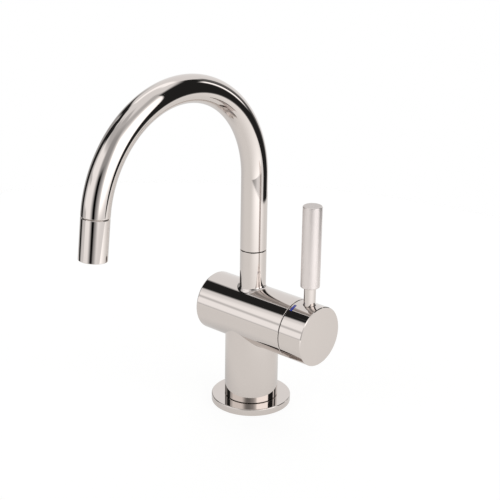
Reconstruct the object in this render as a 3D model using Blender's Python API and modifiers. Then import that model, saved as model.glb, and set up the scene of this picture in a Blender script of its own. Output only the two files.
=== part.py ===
"""Hot and cold water tap for a sink deck, as an assembly of its separate pieces.

A round column stands on a deck flange and carries a horizontal barrel that holds the valve. A gooseneck
spout swivels on the neck above the barrel, and a lever turns a hub on the barrel's open end.
Metres, +Z up. The origin is on the deck, on the axis of the column, about which the spout also swivels.
The spout points along -Y and the lever hub along +X.
"""
import math

import bmesh
import bpy
from mathutils import Vector

# Gaps and small finishing sizes
CLEARANCE = 0.0003
SEAM_GAP = 0.0005
EDGE_BREAK = 0.0003
CUT_OVERRUN = 0.001
MERGE_DISTANCE = 0.000002

# Deck flange, the plug that closes the column, and the ring that seals the flange to the deck
FLANGE_RADIUS = 0.0246
FLANGE_HEIGHT = 0.0043
FLANGE_ROUND = 0.0006
PLUG_HEIGHT = 0.014
PLUG_LIP_WIDTH = 0.0018
PLUG_LIP_HEIGHT = 0.0015
STUD_HOLE_RADIUS = 0.0026
STUD_HOLE_DEPTH = 0.0105
SEAL_WIDTH = 0.0028
SEAL_THICKNESS = 0.0014

# Column, barrel and neck, which are one machined body
COLUMN_RADIUS = 0.01645
COLUMN_WALL = 0.0024
BARREL_RADIUS = 0.0182
BARREL_WALL = 0.0026
BARREL_AXIS_HEIGHT = 0.0586
BARREL_BACK_LENGTH = 0.0304
BARREL_FRONT_LENGTH = 0.0357
BARREL_END_WALL = 0.003
BARREL_END_ROUND = 0.001
BARREL_SHOULDER = 0.002
NECK_LENGTH = 0.0234
NECK_FILLET = 0.0018
NECK_FOOT_SINK = 0.0001
NECK_SOCKET_DEPTH = 0.0162
WATERWAY_RADIUS = 0.0032

# Supply pipes and the ported block that they feed
PIPE_RADIUS = 0.003175
PIPE_WALL = 0.0009
PIPE_PITCH_RADIUS = 0.0074
BLOCK_BACK_WALL = 0.0023
PORT_RADIUS = 0.0018
PORT_PITCH_RADIUS = 0.0062

# Ceramic disc cartridge
CARTRIDGE_LENGTH = 0.0187
CARTRIDGE_WALL = 0.0033
GASKET_THICKNESS = 0.001
DISC_THICKNESS = 0.003
DISC_ROOM = 0.0012
KIDNEY_HALF_SWEEP = math.radians(54)
KIDNEY_STEPS = 10
KEY_WIDTH = 0.003
KEY_DEPTH = 0.0012
KEY_ANGLE = math.radians(40)
DOG_WIDTH = 0.003
DOG_HEIGHT = 0.0012
DOG_LENGTH_SHARE = 0.95
PLATE_THICKNESS = 0.003
SPINDLE_RADIUS = 0.005
SPINDLE_SQUARE_SHARE = 0.7
GLAND_THICKNESS = 0.0037
GLAND_RECESS = 0.0007
GLAND_BORE_RADIUS = 0.007
GLAND_HEX_RADIUS = 0.0102
GLAND_HEX_HEIGHT = 0.0032
GUIDE_RING_WALL = 0.0023

# Lever hub, the pin that screws into it and the grip rod on the pin
HUB_LENGTH = 0.0166
HUB_RECESS = 0.0034
HUB_FACE_WALL = 0.0042
HUB_CHAMFER = 0.0004
PIN_RADIUS = 0.00355
PIN_SEAT_DEPTH = 0.003
PIN_THREAD_RADIUS = 0.0025
ROD_RADIUS = 0.00575
ROD_BASE_HEIGHT = 0.0296
ROD_LENGTH = 0.0499
ROD_SOCKET_DEPTH = 0.008
ROD_ROUND = 0.0006
MARK_ANGLE = math.radians(24)
MARK_LENGTH = 0.005
MARK_WIDTH = 0.0016
MARK_INSET = 0.0012
MARK_DEPTH = 0.0008

# Spout tube and the swivel inside its foot
TUBE_RADIUS = 0.008
TUBE_WALL = 0.0013
TUBE_RIM = 0.0006
RISER_LENGTH = 0.0459
BEND_RADIUS = 0.0632
BEND_SWEEP = math.radians(173.5)
BEND_RUN_OUT = 0.0006
SWIVEL_PLAY = 0.0004
NIPPLE_LENGTH_SHARE = 0.6
NIPPLE_WAIST_WIDTH = 0.0008
NIPPLE_GROOVE_SHARES = {
    "lower_bush": 0.10,
    "lower_ring": 0.27,
    "upper_ring": 0.42,
    "upper_bush": 0.60,
    "snap_ring": 0.82,
}
THRUST_WASHER_THICKNESS = 0.0008
RING_SECTION_RADIUS = 0.0006
BUSH_HEIGHT = 0.003
BUSH_WALL = 0.0008
SNAP_RING_HEIGHT = 0.001
SNAP_RING_WALL = 0.0015
SNAP_RING_OPENING = 0.003

# Outlet nozzle and what is stacked in it
NOZZLE_LENGTH = 0.0235
NOZZLE_SEAM_CHAMFER = 0.0004
NOZZLE_LIP_HEIGHT = 0.0012
NOZZLE_LIP_WIDTH = 0.001
OUTLET_BUSH_SEAT = 0.004
OUTLET_BUSH_WALL = 0.0019
WASHER_THICKNESS = 0.0015
WASHER_WIDTH = 0.0016
SCREEN_THICKNESS = 0.0007
STRAIGHTENER_LENGTH = 0.008
JET_RADIUS = 0.00075
JET_PITCH = 0.0022
JET_RINGS = 2

# Counts of facets
STEPS_LARGE = 40
STEPS_TUBE = 26
STEPS_SMALL = 16
STEPS_DRILLING = 10
STEPS_JET = 6
TUBE_SIDES_OUTSIDE = 24
HEXAGON_SIDES = 6
TUBE_SIDES_INSIDE = 16
BEND_STEPS = 25
ROUND_STEPS = 2
FILLET_STEPS = 4
RING_SECTION_STEPS = 6
SHARP_ANGLE = math.radians(32)

# Radii that follow from the sizes above
COLUMN_BORE = COLUMN_RADIUS - COLUMN_WALL
BARREL_BORE = BARREL_RADIUS - BARREL_WALL
TUBE_BORE = TUBE_RADIUS - TUBE_WALL
PLUG_RADIUS = COLUMN_BORE - CLEARANCE
PLUG_LIP_RADIUS = PLUG_RADIUS + PLUG_LIP_WIDTH
PIPE_HOLE_RADIUS = PIPE_RADIUS + CLEARANCE
PIPE_BORE = PIPE_RADIUS - PIPE_WALL
BLOCK_RADIUS = BARREL_BORE - CLEARANCE
CARTRIDGE_BORE = BLOCK_RADIUS - CARTRIDGE_WALL
DISC_RADIUS = CARTRIDGE_BORE - CLEARANCE
TURNING_RADIUS = CARTRIDGE_BORE - DISC_ROOM
SPINDLE_HOLE = SPINDLE_RADIUS + CLEARANCE
SPINDLE_SQUARE = SPINDLE_RADIUS * SPINDLE_SQUARE_SHARE
NIPPLE_RADIUS = TUBE_BORE - SWIVEL_PLAY
NIPPLE_SPIGOT_RADIUS = WATERWAY_RADIUS + TUBE_WALL
NIPPLE_WAIST_RADIUS = NIPPLE_RADIUS - NIPPLE_WAIST_WIDTH
OUTLET_SEAT_SAG = OUTLET_BUSH_SEAT ** 2 / (2 * BEND_RADIUS)
OUTLET_BUSH_RADIUS = TUBE_BORE - CLEARANCE - OUTLET_SEAT_SAG

# Heights, and places along the barrel measured from the column's axis
COLUMN_FOOT = FLANGE_HEIGHT + CLEARANCE
BARREL_TOP = BARREL_AXIS_HEIGHT + BARREL_RADIUS
SEAM_HEIGHT = BARREL_TOP + NECK_LENGTH
TUBE_FOOT = SEAM_HEIGHT + SEAM_GAP
BEND_HEIGHT = SEAM_HEIGHT + RISER_LENGTH
GLAND_FACE = BARREL_FRONT_LENGTH - GLAND_RECESS
GLAND_START = GLAND_FACE - GLAND_THICKNESS
CARTRIDGE_END = GLAND_START - CLEARANCE
CARTRIDGE_START = CARTRIDGE_END - CARTRIDGE_LENGTH
BLOCK_FRONT = CARTRIDGE_START - CLEARANCE
BLOCK_BACK = -(PIPE_PITCH_RADIUS + PIPE_HOLE_RADIUS + BLOCK_BACK_WALL)
FIXED_DISC_START = CARTRIDGE_START + GASKET_THICKNESS + CLEARANCE
MOVING_DISC_START = FIXED_DISC_START + DISC_THICKNESS + CLEARANCE
PLATE_START = MOVING_DISC_START + DISC_THICKNESS + CLEARANCE
PLATE_END = PLATE_START + PLATE_THICKNESS
HUB_START = BARREL_FRONT_LENGTH + SEAM_GAP
HUB_END = HUB_START + HUB_LENGTH
HUB_FLOOR = HUB_START + HUB_RECESS
HUB_SOCKET_END = HUB_END - HUB_FACE_WALL
HUB_MIDDLE = (HUB_START + HUB_END) / 2
PIPE_TOP = BARREL_AXIS_HEIGHT - PORT_PITCH_RADIUS - PORT_RADIUS - CLEARANCE * 2

QUARTER_TURN = math.pi / 2
ALONG_BARREL = (0.0, QUARTER_TURN, 0.0)


# Collections, materials and the ways of making a shape

def clear_scene():
    """Remove what the scene holds and make the two collections of the tap."""
    for old in list(bpy.data.objects):
        bpy.data.objects.remove(old, do_unlink=True)
    made = []
    for name in ("hot_water_tap", "cutters"):
        collection = bpy.data.collections.new(name)
        bpy.context.scene.collection.children.link(collection)
        made.append(collection)
    return made


def finish(name, colour, metallic, roughness):
    """Principled material of one finish."""
    material = bpy.data.materials.new(name)
    material.use_nodes = True
    shader = material.node_tree.nodes["Principled BSDF"]
    shader.inputs["Base Color"].default_value = (*colour, 1.0)
    shader.inputs["Metallic"].default_value = metallic
    shader.inputs["Roughness"].default_value = roughness
    material.diffuse_color = (*colour, 1.0)
    return material


PARTS, CUTTERS = clear_scene()
POLISHED_NICKEL = finish("polished_nickel", (0.66, 0.60, 0.565), 1.0, 0.06)
SATIN_NICKEL = finish("satin_nickel", (0.62, 0.57, 0.54), 1.0, 0.32)
BRASS = finish("bare_brass", (0.72, 0.52, 0.25), 1.0, 0.35)
COPPER = finish("copper_pipe", (0.76, 0.39, 0.26), 1.0, 0.3)
CERAMIC = finish("white_ceramic", (0.86, 0.85, 0.82), 0.0, 0.15)
RUBBER = finish("black_rubber", (0.02, 0.02, 0.022), 0.0, 0.7)
BLACK_PLASTIC = finish("black_acetal", (0.025, 0.025, 0.028), 0.0, 0.4)
WHITE_PLASTIC = finish("white_acetal", (0.82, 0.82, 0.8), 0.0, 0.4)
STEEL = finish("spring_steel", (0.55, 0.55, 0.56), 1.0, 0.3)
BLUE_ENAMEL = finish("blue_enamel", (0.02, 0.03, 0.36), 0.0, 0.3)
RED_ENAMEL = finish("red_enamel", (0.55, 0.02, 0.02), 0.0, 0.3)


def place(mesh, name, material, location, rotation, parent):
    """Object for a mesh, among the parts if it has a material and else among the cutters."""
    piece = bpy.data.objects.new(name, mesh)
    piece.location = Vector(location)
    piece.rotation_euler = rotation
    if parent:
        piece.location -= parent.location
        piece.parent = parent
    if material:
        PARTS.objects.link(piece)
        piece.data.materials.append(material)
    else:
        CUTTERS.objects.link(piece)
        piece.display_type = 'WIRE'
        piece.hide_render = True
    return piece


def turned(name, outline, steps, material=None, location=(0, 0, 0), rotation=(0, 0, 0), parent=None):
    """Solid turned about its local Z axis from (radius, height) points that run down its outer side.

    An outline that leaves the axis open is closed to a ring.
    """
    points = [(radius, 0.0, height) for radius, height in outline]
    edges = [(index, index + 1) for index in range(len(points) - 1)]
    if outline[0][0] > 0:
        edges.append((len(points) - 1, 0))
    mesh = bpy.data.meshes.new(name)
    mesh.from_pydata(points, edges, [])
    piece = place(mesh, name, material, location, rotation, parent)
    turning = piece.modifiers.new("turning", 'SCREW')
    turning.steps = steps
    turning.render_steps = steps
    turning.use_merge_vertices = True
    turning.merge_threshold = MERGE_DISTANCE
    apply_modifiers(piece)
    make_plain_ends(piece.data)
    return piece


def make_plain_ends(mesh):
    """Join the wedges round each vertex on the turning axis into one plain face."""
    shape = bmesh.new()
    shape.from_mesh(mesh)
    on_axis = [vertex for vertex in shape.verts if vertex.co.xy.length < MERGE_DISTANCE]
    bmesh.ops.dissolve_verts(shape, verts=on_axis)
    shape.to_mesh(mesh)
    shape.free()


def prism(name, radius, start, end, sides, material=None, parent=None):
    """Round or many-sided bar from one point to another."""
    start = Vector(start)
    end = Vector(end)
    span = end - start
    mesh = bpy.data.meshes.new(name)
    shape = bmesh.new()
    bmesh.ops.create_cone(
        shape, cap_ends=True, segments=sides, radius1=radius, radius2=radius, depth=span.length)
    shape.to_mesh(mesh)
    shape.free()
    turn = span.to_track_quat('Z', 'Y').to_euler()
    return place(mesh, name, material, (start + end) / 2, turn, parent)


def block(name, size, centre, rotation=(0, 0, 0), material=None, parent=None):
    """Box of a size about its centre."""
    mesh = bpy.data.meshes.new(name)
    shape = bmesh.new()
    bmesh.ops.create_cube(shape, size=1.0)
    bmesh.ops.scale(shape, vec=Vector(size), verts=shape.verts)
    shape.to_mesh(mesh)
    shape.free()
    return place(mesh, name, material, centre, rotation, parent)


def bent_bar(name, path, radius, sides, material=None, location=(0, 0, 0), parent=None):
    """Round bar that follows a path, made from a bevelled curve whose end caps are welded on."""
    curve = bpy.data.curves.new(name, 'CURVE')
    curve.dimensions = '3D'
    curve.bevel_depth = radius
    curve.bevel_resolution = (sides - 4) // 2
    curve.use_fill_caps = True
    spline = curve.splines.new('POLY')
    spline.points.add(len(path) - 1)
    for point, place_on_path in zip(spline.points, path):
        point.co = (*place_on_path, 1.0)
    guide = bpy.data.objects.new(name + "_guide", curve)
    CUTTERS.objects.link(guide)
    bpy.context.view_layer.update()
    graph = bpy.context.evaluated_depsgraph_get()
    mesh = bpy.data.meshes.new_from_object(guide.evaluated_get(graph))
    bpy.data.objects.remove(guide, do_unlink=True)
    shape = bmesh.new()
    shape.from_mesh(mesh)
    bmesh.ops.remove_doubles(shape, verts=shape.verts, dist=MERGE_DISTANCE)
    shape.to_mesh(mesh)
    shape.free()
    return place(mesh, name, material, location, (0, 0, 0), parent)


def combine(piece, tool, operation='DIFFERENCE'):
    """Boolean of a piece with a tool, as a modifier."""
    step = piece.modifiers.new(tool.name, 'BOOLEAN')
    step.operation = operation
    step.solver = 'EXACT'
    step.object = tool


def apply_modifiers(piece):
    """Give a piece the mesh that its modifiers make."""
    bpy.context.view_layer.update()
    graph = bpy.context.evaluated_depsgraph_get()
    mesh = bpy.data.meshes.new_from_object(piece.evaluated_get(graph))
    piece.modifiers.clear()
    piece.data = mesh


def arc(centre, radius, start, end, steps):
    """Points (radius, height) on a round stretch of an outline, from one angle to another."""
    angles = [start + (end - start) * index / steps for index in range(steps + 1)]
    return [(centre[0] + radius * math.cos(angle), centre[1] + radius * math.sin(angle)) for angle in angles]


def plain_ring(outer, inner, low, high):
    """Outline of a ring with a square section."""
    return [(outer, high), (outer, low), (inner, low), (inner, high)]


def plain_bar(radius, low, high):
    """Outline of a solid bar with sharp edges."""
    return [(0, high), (radius, high), (radius, low), (0, low)]


def broken_bar(radius, low, high):
    """Outline of a solid bar with both its edges broken."""
    return [(0, high), (radius - EDGE_BREAK, high), (radius, high - EDGE_BREAK),
            (radius, low + EDGE_BREAK), (radius - EDGE_BREAK, low), (0, low)]


def round_ring(wall_radius, height):
    """Outline of a sealing ring that lies against a wall of the given radius."""
    section_centre = (wall_radius - CLEARANCE - RING_SECTION_RADIUS, height)
    points = arc(section_centre, RING_SECTION_RADIUS, math.pi, -math.pi, RING_SECTION_STEPS)
    return points[:-1]


def ring_groove(wall_radius):
    """Floor radius and half width of the groove for such a sealing ring."""
    floor = wall_radius - 2 * (CLEARANCE + RING_SECTION_RADIUS)
    return floor, RING_SECTION_RADIUS + CLEARANCE


def grooved(radius, grooves):
    """Outer side of a bar, from top to bottom, with square grooves of (height, half width, floor)."""
    points = []
    for height, half_width, floor in sorted(grooves, reverse=True):
        points += [(radius, height + half_width), (floor, height + half_width),
                   (floor, height - half_width), (radius, height - half_width)]
    return points


def on_circle(radius, angle):
    """Point of a circle, as a pair."""
    return radius * math.cos(angle), radius * math.sin(angle)


# Foot of the tap

def make_flange():
    """Disc under the column, with a rebate for the plug's lip and a groove for the deck seal."""
    rebate = PLUG_LIP_RADIUS + CLEARANCE
    rebate_height = PLUG_LIP_HEIGHT + CLEARANCE
    hole = PLUG_RADIUS + CLEARANCE
    seal_middle = (rebate + FLANGE_RADIUS) / 2
    seal_half = SEAL_WIDTH / 2
    groove_half = seal_half + CLEARANCE
    groove_depth = SEAL_THICKNESS + CLEARANCE
    rim = arc((FLANGE_RADIUS - FLANGE_ROUND, FLANGE_HEIGHT - FLANGE_ROUND), FLANGE_ROUND,
              QUARTER_TURN, 0, ROUND_STEPS)
    outline = [(hole, FLANGE_HEIGHT)] + rim + [
        (FLANGE_RADIUS, EDGE_BREAK),
        (FLANGE_RADIUS - EDGE_BREAK, 0),
        (seal_middle + groove_half, 0),
        (seal_middle + groove_half, groove_depth),
        (seal_middle - groove_half, groove_depth),
        (seal_middle - groove_half, 0),
        (rebate, 0),
        (rebate, rebate_height),
        (hole, rebate_height)]
    turned("base_flange", outline, STEPS_LARGE, POLISHED_NICKEL)
    seal = plain_ring(seal_middle + seal_half, seal_middle - seal_half, 0, SEAL_THICKNESS)
    turned("deck_seal", seal, STEPS_LARGE, RUBBER)


def pipe_places():
    """Places of the three pipes round the column's axis, by name."""
    quarter = PIPE_PITCH_RADIUS
    return {"cold_supply_pipe": (0.0, quarter), "tank_feed_pipe": (0.0, -quarter), "hot_return_pipe": (-quarter, 0.0)}


def make_plug_and_pipes():
    """Brass plug in the foot of the column, with the pipes that pass through it and a hole for a stud."""
    outline = [
        (0, PLUG_HEIGHT),
        (PLUG_RADIUS - EDGE_BREAK, PLUG_HEIGHT),
        (PLUG_RADIUS, PLUG_HEIGHT - EDGE_BREAK),
        (PLUG_RADIUS, PLUG_LIP_HEIGHT),
        (PLUG_LIP_RADIUS, PLUG_LIP_HEIGHT),
        (PLUG_LIP_RADIUS, EDGE_BREAK),
        (PLUG_LIP_RADIUS - EDGE_BREAK, 0),
        (0, 0)]
    plug = turned("base_plug", outline, STEPS_LARGE, BRASS)
    for name, (x, y) in pipe_places().items():
        hole = prism(name + "_hole", PIPE_HOLE_RADIUS, (x, y, -CUT_OVERRUN),
                     (x, y, PLUG_HEIGHT + CUT_OVERRUN), STEPS_SMALL)
        combine(plug, hole)
        section = plain_ring(PIPE_RADIUS, PIPE_BORE, CLEARANCE, PIPE_TOP)
        turned(name, section, STEPS_SMALL, COPPER, (x, y, 0))
    stud = prism("stud_hole", STUD_HOLE_RADIUS, (PIPE_PITCH_RADIUS, 0, -CUT_OVERRUN),
                 (PIPE_PITCH_RADIUS, 0, STUD_HOLE_DEPTH), STEPS_SMALL)
    combine(plug, stud)


# Body of column, barrel and neck

def make_neck():
    """Neck whose filleted foot is laid over the round top of the barrel."""
    foot = TUBE_RADIUS + NECK_FILLET
    fillet = arc((foot, BARREL_TOP + NECK_FILLET), NECK_FILLET, math.pi, math.pi + QUARTER_TURN, FILLET_STEPS)
    outline = [(0, SEAM_HEIGHT), (TUBE_RADIUS - EDGE_BREAK, SEAM_HEIGHT), (TUBE_RADIUS, SEAM_HEIGHT - EDGE_BREAK)]
    outline += fillet
    outline += [(foot, BARREL_TOP - BARREL_WALL / 2), (0, BARREL_TOP - BARREL_WALL / 2)]
    neck = turned("neck_blank", outline, STEPS_TUBE)
    for vertex in neck.data.vertices:
        if vertex.co.z < BARREL_TOP + NECK_FILLET + EDGE_BREAK:
            drop = BARREL_RADIUS - math.sqrt(BARREL_RADIUS ** 2 - vertex.co.y ** 2)
            vertex.co.z -= drop + NECK_FOOT_SINK
    return neck


def make_body():
    """Barrel, column and neck joined, then bored for the valve, the pipes and the swivel nipple."""
    end_round = arc((BARREL_RADIUS - BARREL_END_ROUND, BARREL_END_ROUND - BARREL_BACK_LENGTH), BARREL_END_ROUND,
                    0, -QUARTER_TURN, ROUND_STEPS)
    barrel = [(0, BARREL_FRONT_LENGTH), (BARREL_RADIUS - EDGE_BREAK, BARREL_FRONT_LENGTH),
              (BARREL_RADIUS, BARREL_FRONT_LENGTH - EDGE_BREAK)]
    barrel += end_round
    barrel += [(0, -BARREL_BACK_LENGTH)]
    axis_point = (0, 0, BARREL_AXIS_HEIGHT)
    body = turned("tap_body", barrel, STEPS_LARGE, POLISHED_NICKEL, axis_point, ALONG_BARREL)
    column = broken_bar(COLUMN_RADIUS, COLUMN_FOOT, BARREL_AXIS_HEIGHT - BARREL_WALL)
    combine(body, turned("column_blank", column, STEPS_LARGE), 'UNION')
    combine(body, make_neck(), 'UNION')
    shoulder = BLOCK_BACK - CLEARANCE
    cavity_end = BARREL_END_WALL - BARREL_BACK_LENGTH
    cavity = [
        (0, BARREL_FRONT_LENGTH + CUT_OVERRUN),
        (BARREL_BORE, BARREL_FRONT_LENGTH + CUT_OVERRUN),
        (BARREL_BORE, shoulder),
        (BARREL_BORE - BARREL_SHOULDER, shoulder),
        (BARREL_BORE - BARREL_SHOULDER, cavity_end),
        (0, cavity_end)]
    combine(body, turned("barrel_cavity", cavity, STEPS_LARGE, None, axis_point, ALONG_BARREL))
    column_bore = prism("column_cavity", COLUMN_BORE, (0, 0, 0), (0, 0, BARREL_AXIS_HEIGHT - COLUMN_WALL),
                        STEPS_LARGE)
    combine(body, column_bore)
    socket = NIPPLE_SPIGOT_RADIUS + CLEARANCE
    socket_floor = SEAM_HEIGHT - NECK_SOCKET_DEPTH
    neck_cavity = [
        (0, SEAM_HEIGHT + CUT_OVERRUN),
        (socket, SEAM_HEIGHT + CUT_OVERRUN),
        (socket, socket_floor),
        (WATERWAY_RADIUS, socket_floor),
        (WATERWAY_RADIUS, BARREL_AXIS_HEIGHT),
        (0, BARREL_AXIS_HEIGHT)]
    combine(body, turned("neck_cavity", neck_cavity, STEPS_SMALL))


def make_valve_block():
    """Brass block in the barrel, cross drilled from the pipes to its ported front face."""
    groove_floor, groove_half = ring_groove(BARREL_BORE)
    ring_place = BLOCK_FRONT - 2 * groove_half
    outline = [(0, BLOCK_FRONT), (BLOCK_RADIUS, BLOCK_FRONT)]
    outline += grooved(BLOCK_RADIUS, [(ring_place, groove_half, groove_floor)])
    outline += [(BLOCK_RADIUS, BLOCK_BACK), (0, BLOCK_BACK)]
    axis_point = (0, 0, BARREL_AXIS_HEIGHT)
    valve = turned("valve_block", outline, STEPS_LARGE, BRASS, axis_point, ALONG_BARREL)
    turned("block_ring", round_ring(BARREL_BORE, ring_place), STEPS_TUBE, RUBBER, axis_point, ALONG_BARREL)
    axis = BARREL_AXIS_HEIGHT
    low = axis - PORT_PITCH_RADIUS
    side = PORT_PITCH_RADIUS
    front = BLOCK_FRONT + CUT_OVERRUN
    pitch = PIPE_PITCH_RADIUS
    seat_top = PIPE_TOP + CLEARANCE
    under = axis - BARREL_RADIUS
    risers = {"cold_supply_pipe": low, "tank_feed_pipe": axis, "hot_return_pipe": axis}
    for name, (x, y) in pipe_places().items():
        combine(valve, prism(name + "_seat", PIPE_HOLE_RADIUS, (x, y, under), (x, y, seat_top), STEPS_SMALL))
        rise_end = (x, y, risers[name] + PORT_RADIUS)
        combine(valve, prism(name + "_riser", PIPE_BORE, (x, y, seat_top - CUT_OVERRUN), rise_end, STEPS_DRILLING))
    drillings = {
        "supply_cross": ((0, pitch, low), (0, 0, low)),
        "supply_port": ((-PORT_RADIUS, 0, low), (front, 0, low)),
        "feed_port": ((-PORT_RADIUS, -side, axis), (front, -side, axis)),
        "outlet_port": ((-PORT_RADIUS, side, axis), (front, side, axis)),
        "outlet_cross": ((0, side, axis), (0, 0, axis)),
        "return_cross": ((-pitch, 0, axis), (0, 0, axis)),
    }
    for name, (start, end) in drillings.items():
        combine(valve, prism(name, PORT_RADIUS, start, end, STEPS_DRILLING))
    outlet_foot = axis - PORT_RADIUS
    combine(valve, prism("outlet_riser", WATERWAY_RADIUS, (0, 0, outlet_foot), (0, 0, BARREL_TOP), STEPS_SMALL))


# Cartridge in the barrel

def port_places():
    """Places of the three ports on the disc faces, as pairs of Y and height."""
    side = PORT_PITCH_RADIUS
    axis = BARREL_AXIS_HEIGHT
    return {"supply": (0.0, axis - side), "feed": (-side, axis), "outlet": (side, axis)}


def cut_ports(piece, start, end):
    """Cut the three ports through a piece between two places along the barrel."""
    for name, (y, z) in port_places().items():
        hole = prism(piece.name + "_" + name, PORT_RADIUS, (start - CUT_OVERRUN, y, z),
                     (end + CUT_OVERRUN, y, z), STEPS_DRILLING)
        combine(piece, hole)


def key_boxes(name, room, start, end):
    """Boxes across the edge of the fixed disc, at its keys, widened by the given room."""
    boxes = []
    for index, angle in enumerate((KEY_ANGLE, -KEY_ANGLE)):
        reach = DISC_RADIUS + CLEARANCE * 2
        inner = DISC_RADIUS - KEY_DEPTH - room
        middle = (reach + inner) / 2
        y, drop = on_circle(middle, QUARTER_TURN + angle)
        size = (end - start, KEY_WIDTH + 2 * room, reach - inner)
        centre = ((start + end) / 2, y, BARREL_AXIS_HEIGHT - drop)
        boxes.append(block(f"{name}_{index}", size, centre, (-angle, 0, 0)))
    return boxes


def make_fixed_cartridge():
    """Housing, gasket and fixed disc, which do not turn."""
    axis_point = (0, 0, BARREL_AXIS_HEIGHT)
    floor = PLATE_END + CLEARANCE
    outline = [
        (SPINDLE_HOLE, CARTRIDGE_END),
        (BLOCK_RADIUS - EDGE_BREAK, CARTRIDGE_END),
        (BLOCK_RADIUS, CARTRIDGE_END - EDGE_BREAK),
        (BLOCK_RADIUS, CARTRIDGE_START),
        (CARTRIDGE_BORE, CARTRIDGE_START),
        (CARTRIDGE_BORE, floor),
        (SPINDLE_HOLE, floor)]
    housing = turned("cartridge_housing", outline, STEPS_LARGE, WHITE_PLASTIC, axis_point, ALONG_BARREL)
    for rib in key_boxes("housing_key", 0, FIXED_DISC_START, FIXED_DISC_START + DISC_THICKNESS):
        combine(housing, rib, 'UNION')
    gasket_end = CARTRIDGE_START + GASKET_THICKNESS
    gasket_outline = plain_bar(DISC_RADIUS, CARTRIDGE_START, gasket_end)
    gasket = turned("port_gasket", gasket_outline, STEPS_TUBE, RUBBER, axis_point, ALONG_BARREL)
    cut_ports(gasket, CARTRIDGE_START, gasket_end)
    disc_outline = plain_bar(DISC_RADIUS, FIXED_DISC_START, FIXED_DISC_START + DISC_THICKNESS)
    disc = turned("fixed_ceramic_disc", disc_outline, STEPS_TUBE, CERAMIC, axis_point, ALONG_BARREL)
    cut_ports(disc, FIXED_DISC_START, FIXED_DISC_START + DISC_THICKNESS)
    notch_start = FIXED_DISC_START - CUT_OVERRUN
    notch_end = FIXED_DISC_START + DISC_THICKNESS + CUT_OVERRUN
    for notch in key_boxes("disc_notch", CLEARANCE, notch_start, notch_end):
        combine(disc, notch)


def make_gland():
    """Gland nut that holds the cartridge in, and the plastic ring that centres the hub on the barrel."""
    start = (GLAND_START, 0, BARREL_AXIS_HEIGHT)
    hex_foot = ((GLAND_START + GLAND_FACE) / 2, 0, BARREL_AXIS_HEIGHT)
    hex_end = (GLAND_FACE + GLAND_HEX_HEIGHT, 0, BARREL_AXIS_HEIGHT)
    nut = prism("gland_nut", BLOCK_RADIUS, start, (GLAND_FACE, 0, BARREL_AXIS_HEIGHT), STEPS_LARGE, BRASS)
    combine(nut, prism("gland_hexagon", GLAND_HEX_RADIUS, hex_foot, hex_end, HEXAGON_SIDES), 'UNION')
    bore_start = (GLAND_START - CUT_OVERRUN, 0, BARREL_AXIS_HEIGHT)
    bore_end = (GLAND_FACE + GLAND_HEX_HEIGHT + CUT_OVERRUN, 0, BARREL_AXIS_HEIGHT)
    combine(nut, prism("gland_bore", GLAND_BORE_RADIUS, bore_start, bore_end, STEPS_SMALL))
    section = plain_ring(BLOCK_RADIUS, BLOCK_RADIUS - GUIDE_RING_WALL, GLAND_FACE + CLEARANCE, HUB_FLOOR - CLEARANCE)
    axis_point = (0, 0, BARREL_AXIS_HEIGHT)
    turned("hub_guide_ring", section, STEPS_LARGE, BLACK_PLASTIC, axis_point, ALONG_BARREL)


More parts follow.
